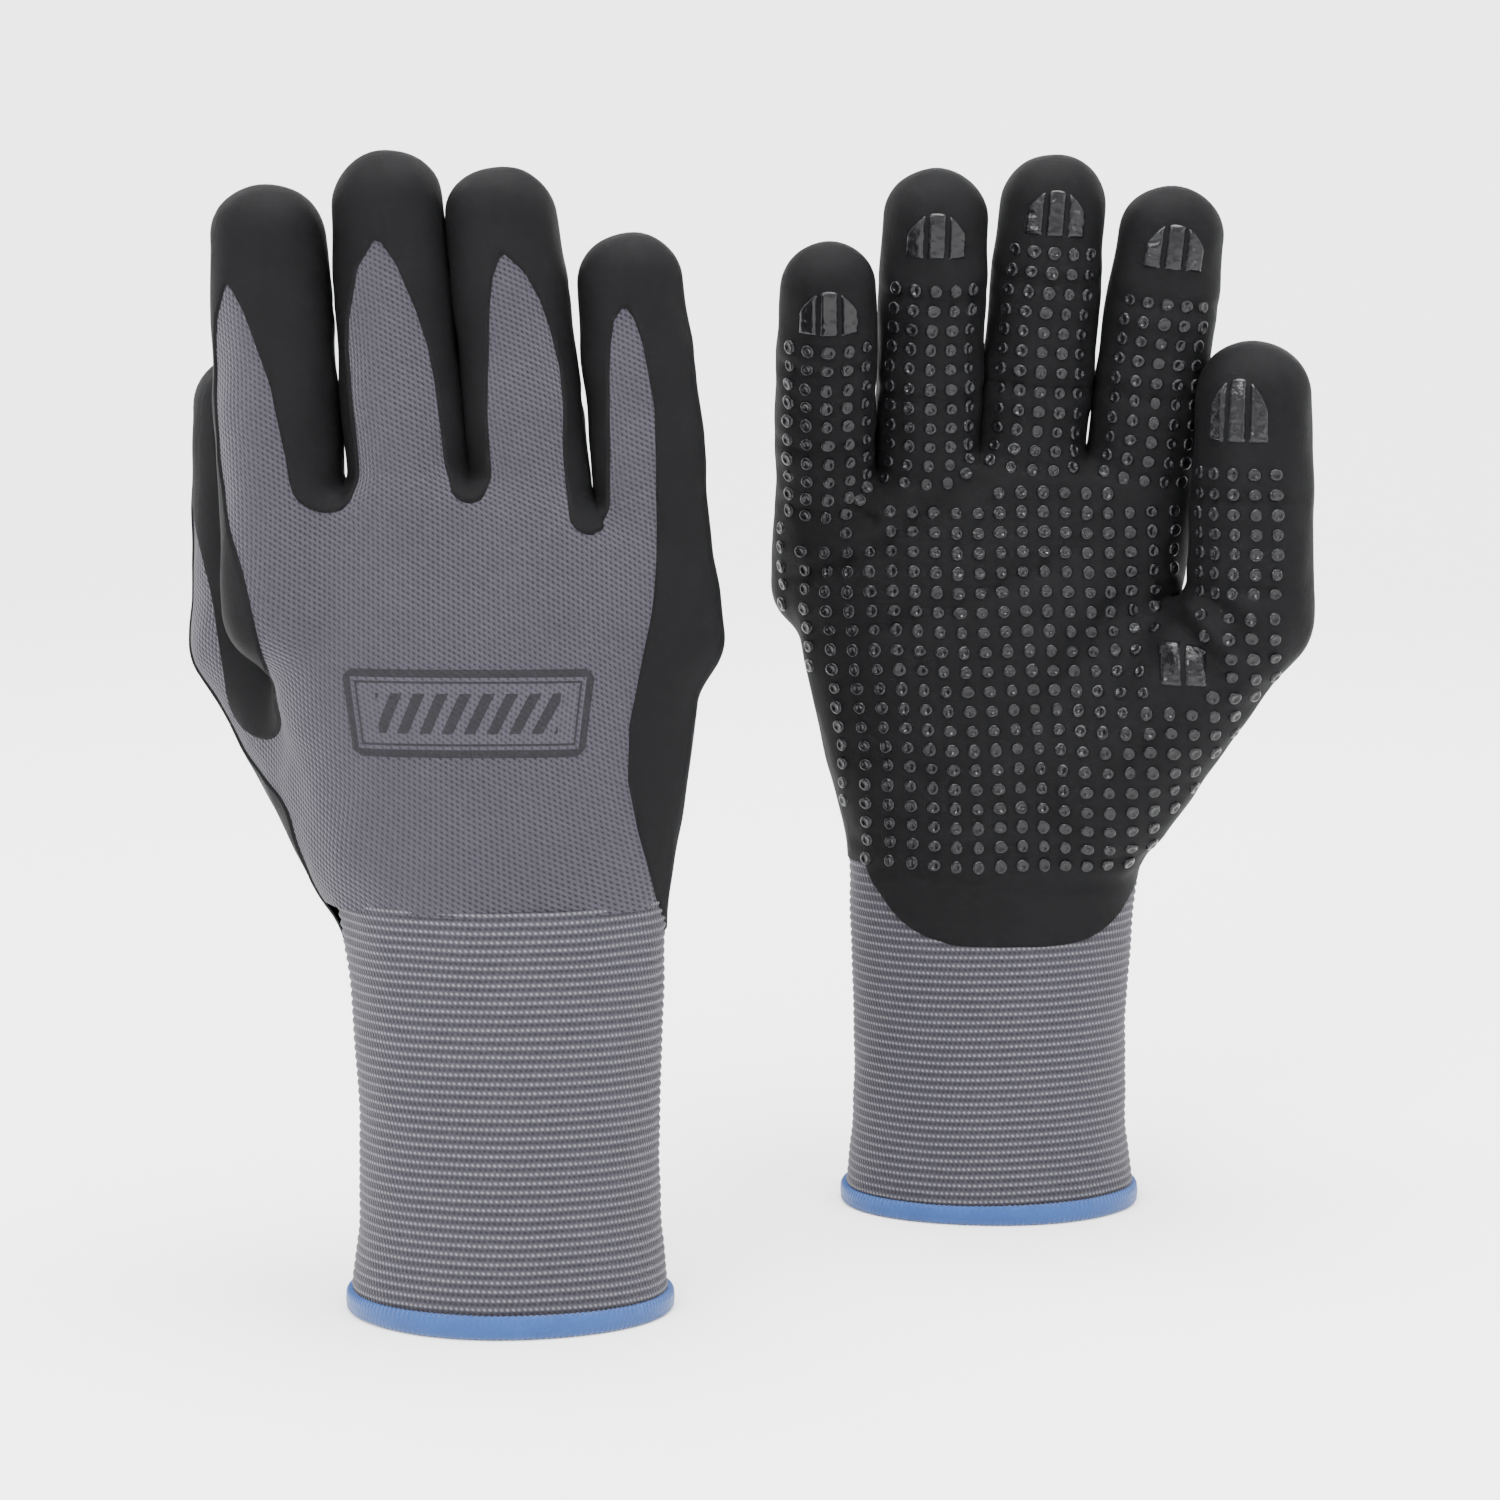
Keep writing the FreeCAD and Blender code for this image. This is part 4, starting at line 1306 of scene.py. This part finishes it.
def badge_material():
    """Thin dark print on the knit: a broad frame, a fine line inside it and a row of slanting bars."""
    m = Nodes("back_badge")
    u, v = m.uv()
    half_wide, half_tall = BADGE_HALF
    x, y = m.size(u), m.size(v)
    border = m.math("MINIMUM", m.minus(half_wide, x), m.minus(half_tall, y))
    frame_band = m.math("LESS_THAN", border, 2.0)
    line = m.math("LESS_THAN", m.size(m.minus(border, 3.0)), 0.25)
    slant = m.over(m.plus(u, m.times(v, 0.5)), 5.0)
    stripes = m.math("LESS_THAN", m.size(m.minus(m.fraction(slant), 0.5)), 0.26)
    inside = m.times(m.math("LESS_THAN", x, 20.0), m.math("LESS_THAN", y, 4.2))
    mark = m.math("MAXIMUM", m.math("MAXIMUM", frame_band, line), m.times(stripes, inside))
    hole = stitch_holes(m, u, v)
    wear = m.noise(500.0, 3.0)
    cloth = m.mix(wear, (0.03, 0.028, 0.037), (0.043, 0.04, 0.052))
    print_tone = m.mix(wear, (0.003, 0.003, 0.004), (0.007, 0.006, 0.009))
    colour = m.mix(m.times(mark, 0.92), cloth, print_tone)
    colour = m.mix(m.times(hole, 0.8), colour, (0.005, 0.004, 0.006))
    return m.finish(colour, 0.8, m.bump(m.times(hole, -1.0), 0.7, 0.0004), Specular_IOR_Level=0.25)


# ---------------------------------------------------------------- camera and light

def build_camera():
    """In front of the nearer glove, a little above the hands."""
    distance, eye = 0.75, 0.243
    middle, aim, wide = 0.0523, 0.1235, 0.321  # the picture's centre, and its width there
    data = bpy.data.cameras.new("camera")
    camera = bpy.data.objects.new("camera", data)
    camera.location = (middle, -distance, eye)
    direction = Vector((middle, 0.0, aim)) - camera.location
    camera.rotation_euler = direction.to_track_quat("-Z", "Y").to_euler()
    data.lens = data.sensor_width * direction.length / wide
    data.clip_start = 0.02
    bpy.context.scene.collection.objects.link(camera)
    bpy.context.scene.camera = camera


def area_light(name, place, aim, size, power):
    """A square light in watts, turned towards a point."""
    data = bpy.data.lights.new(name, "AREA")
    data.shape, data.size, data.energy = "SQUARE", size, power
    light = bpy.data.objects.new(name, data)
    light.location = place
    light.rotation_euler = (Vector(aim) - Vector(place)).to_track_quat("-Z", "Y").to_euler()
    bpy.context.scene.collection.objects.link(light)


def build_studio():
    """Wide soft lights keep the floor and the wall bright, and small ones give the gloves depth."""
    world = bpy.data.worlds.new("studio")
    world.use_nodes = True
    world.node_tree.nodes["Background"].inputs[0].default_value = (1, 1, 1, 1)
    world.node_tree.nodes["Background"].inputs[1].default_value = 0.2
    bpy.context.scene.world = world
    middle = (0.055, 0.04, 0.13)
    area_light("overhead", (0.05, -0.1, 1.7), (0.05, 0.1, 0.0), 2.0, 92)
    area_light("wall", (0.05, 0.2, 2.2), (0.05, 1.6, 0.8), 1.6, 90)
    area_light("key", (-0.6, -0.9, 0.8), middle, 0.4, 9)
    area_light("fill", (0.9, -0.8, 0.5), middle, 0.5, 5)
    area_light("glint", (-0.25, -0.9, 0.75), middle, 0.07, 5)
    build_backdrop()


def build_backdrop():
    """A seamless pale floor that curves up into a wall all round."""
    radius, bend, top, count = 2.3, 0.9, 2.6, 96
    turn = np.linspace(0, np.pi / 2, 17)
    line = [(0.01, 0.0)] + [(radius - bend + bend * math.sin(t), bend - bend * math.cos(t)) for t in turn]
    line.append((radius, top))
    angle = np.linspace(0, 2 * np.pi, count, endpoint=False)
    circle = np.stack([np.cos(angle), np.sin(angle), 0 * angle], axis=1)
    rings = [far * circle + (0, 0, z) for far, z in line]
    backdrop = make_object("backdrop", np.concatenate(rings), tube_faces(len(line), count))
    m = Nodes("backdrop")
    backdrop.data.materials.append(m.finish((0.93, 0.93, 0.93), 0.9, Specular_IOR_Level=0.05))


build_camera()
build_studio()
LOOKS = {
    "liner": liner_material(),
    "cuff": cuff_material(),
    "foam": foam_material(),
    "gloss": gloss_material(),
    "hem": hem_material(),
    "elastic": elastic_material(),
    "badge": badge_material(),
}
for glove in (Glove("glove1", "wrist_opening_1", -0.5), Glove("glove2", "wrist_opening_2", 0.5)):
    build_skin(glove, LOOKS)
    build_cuff(glove, LOOKS)
    build_elastic(glove, LOOKS)
    build_hem(glove, LOOKS)
    build_print(glove, LOOKS)
    build_badge(glove, LOOKS)
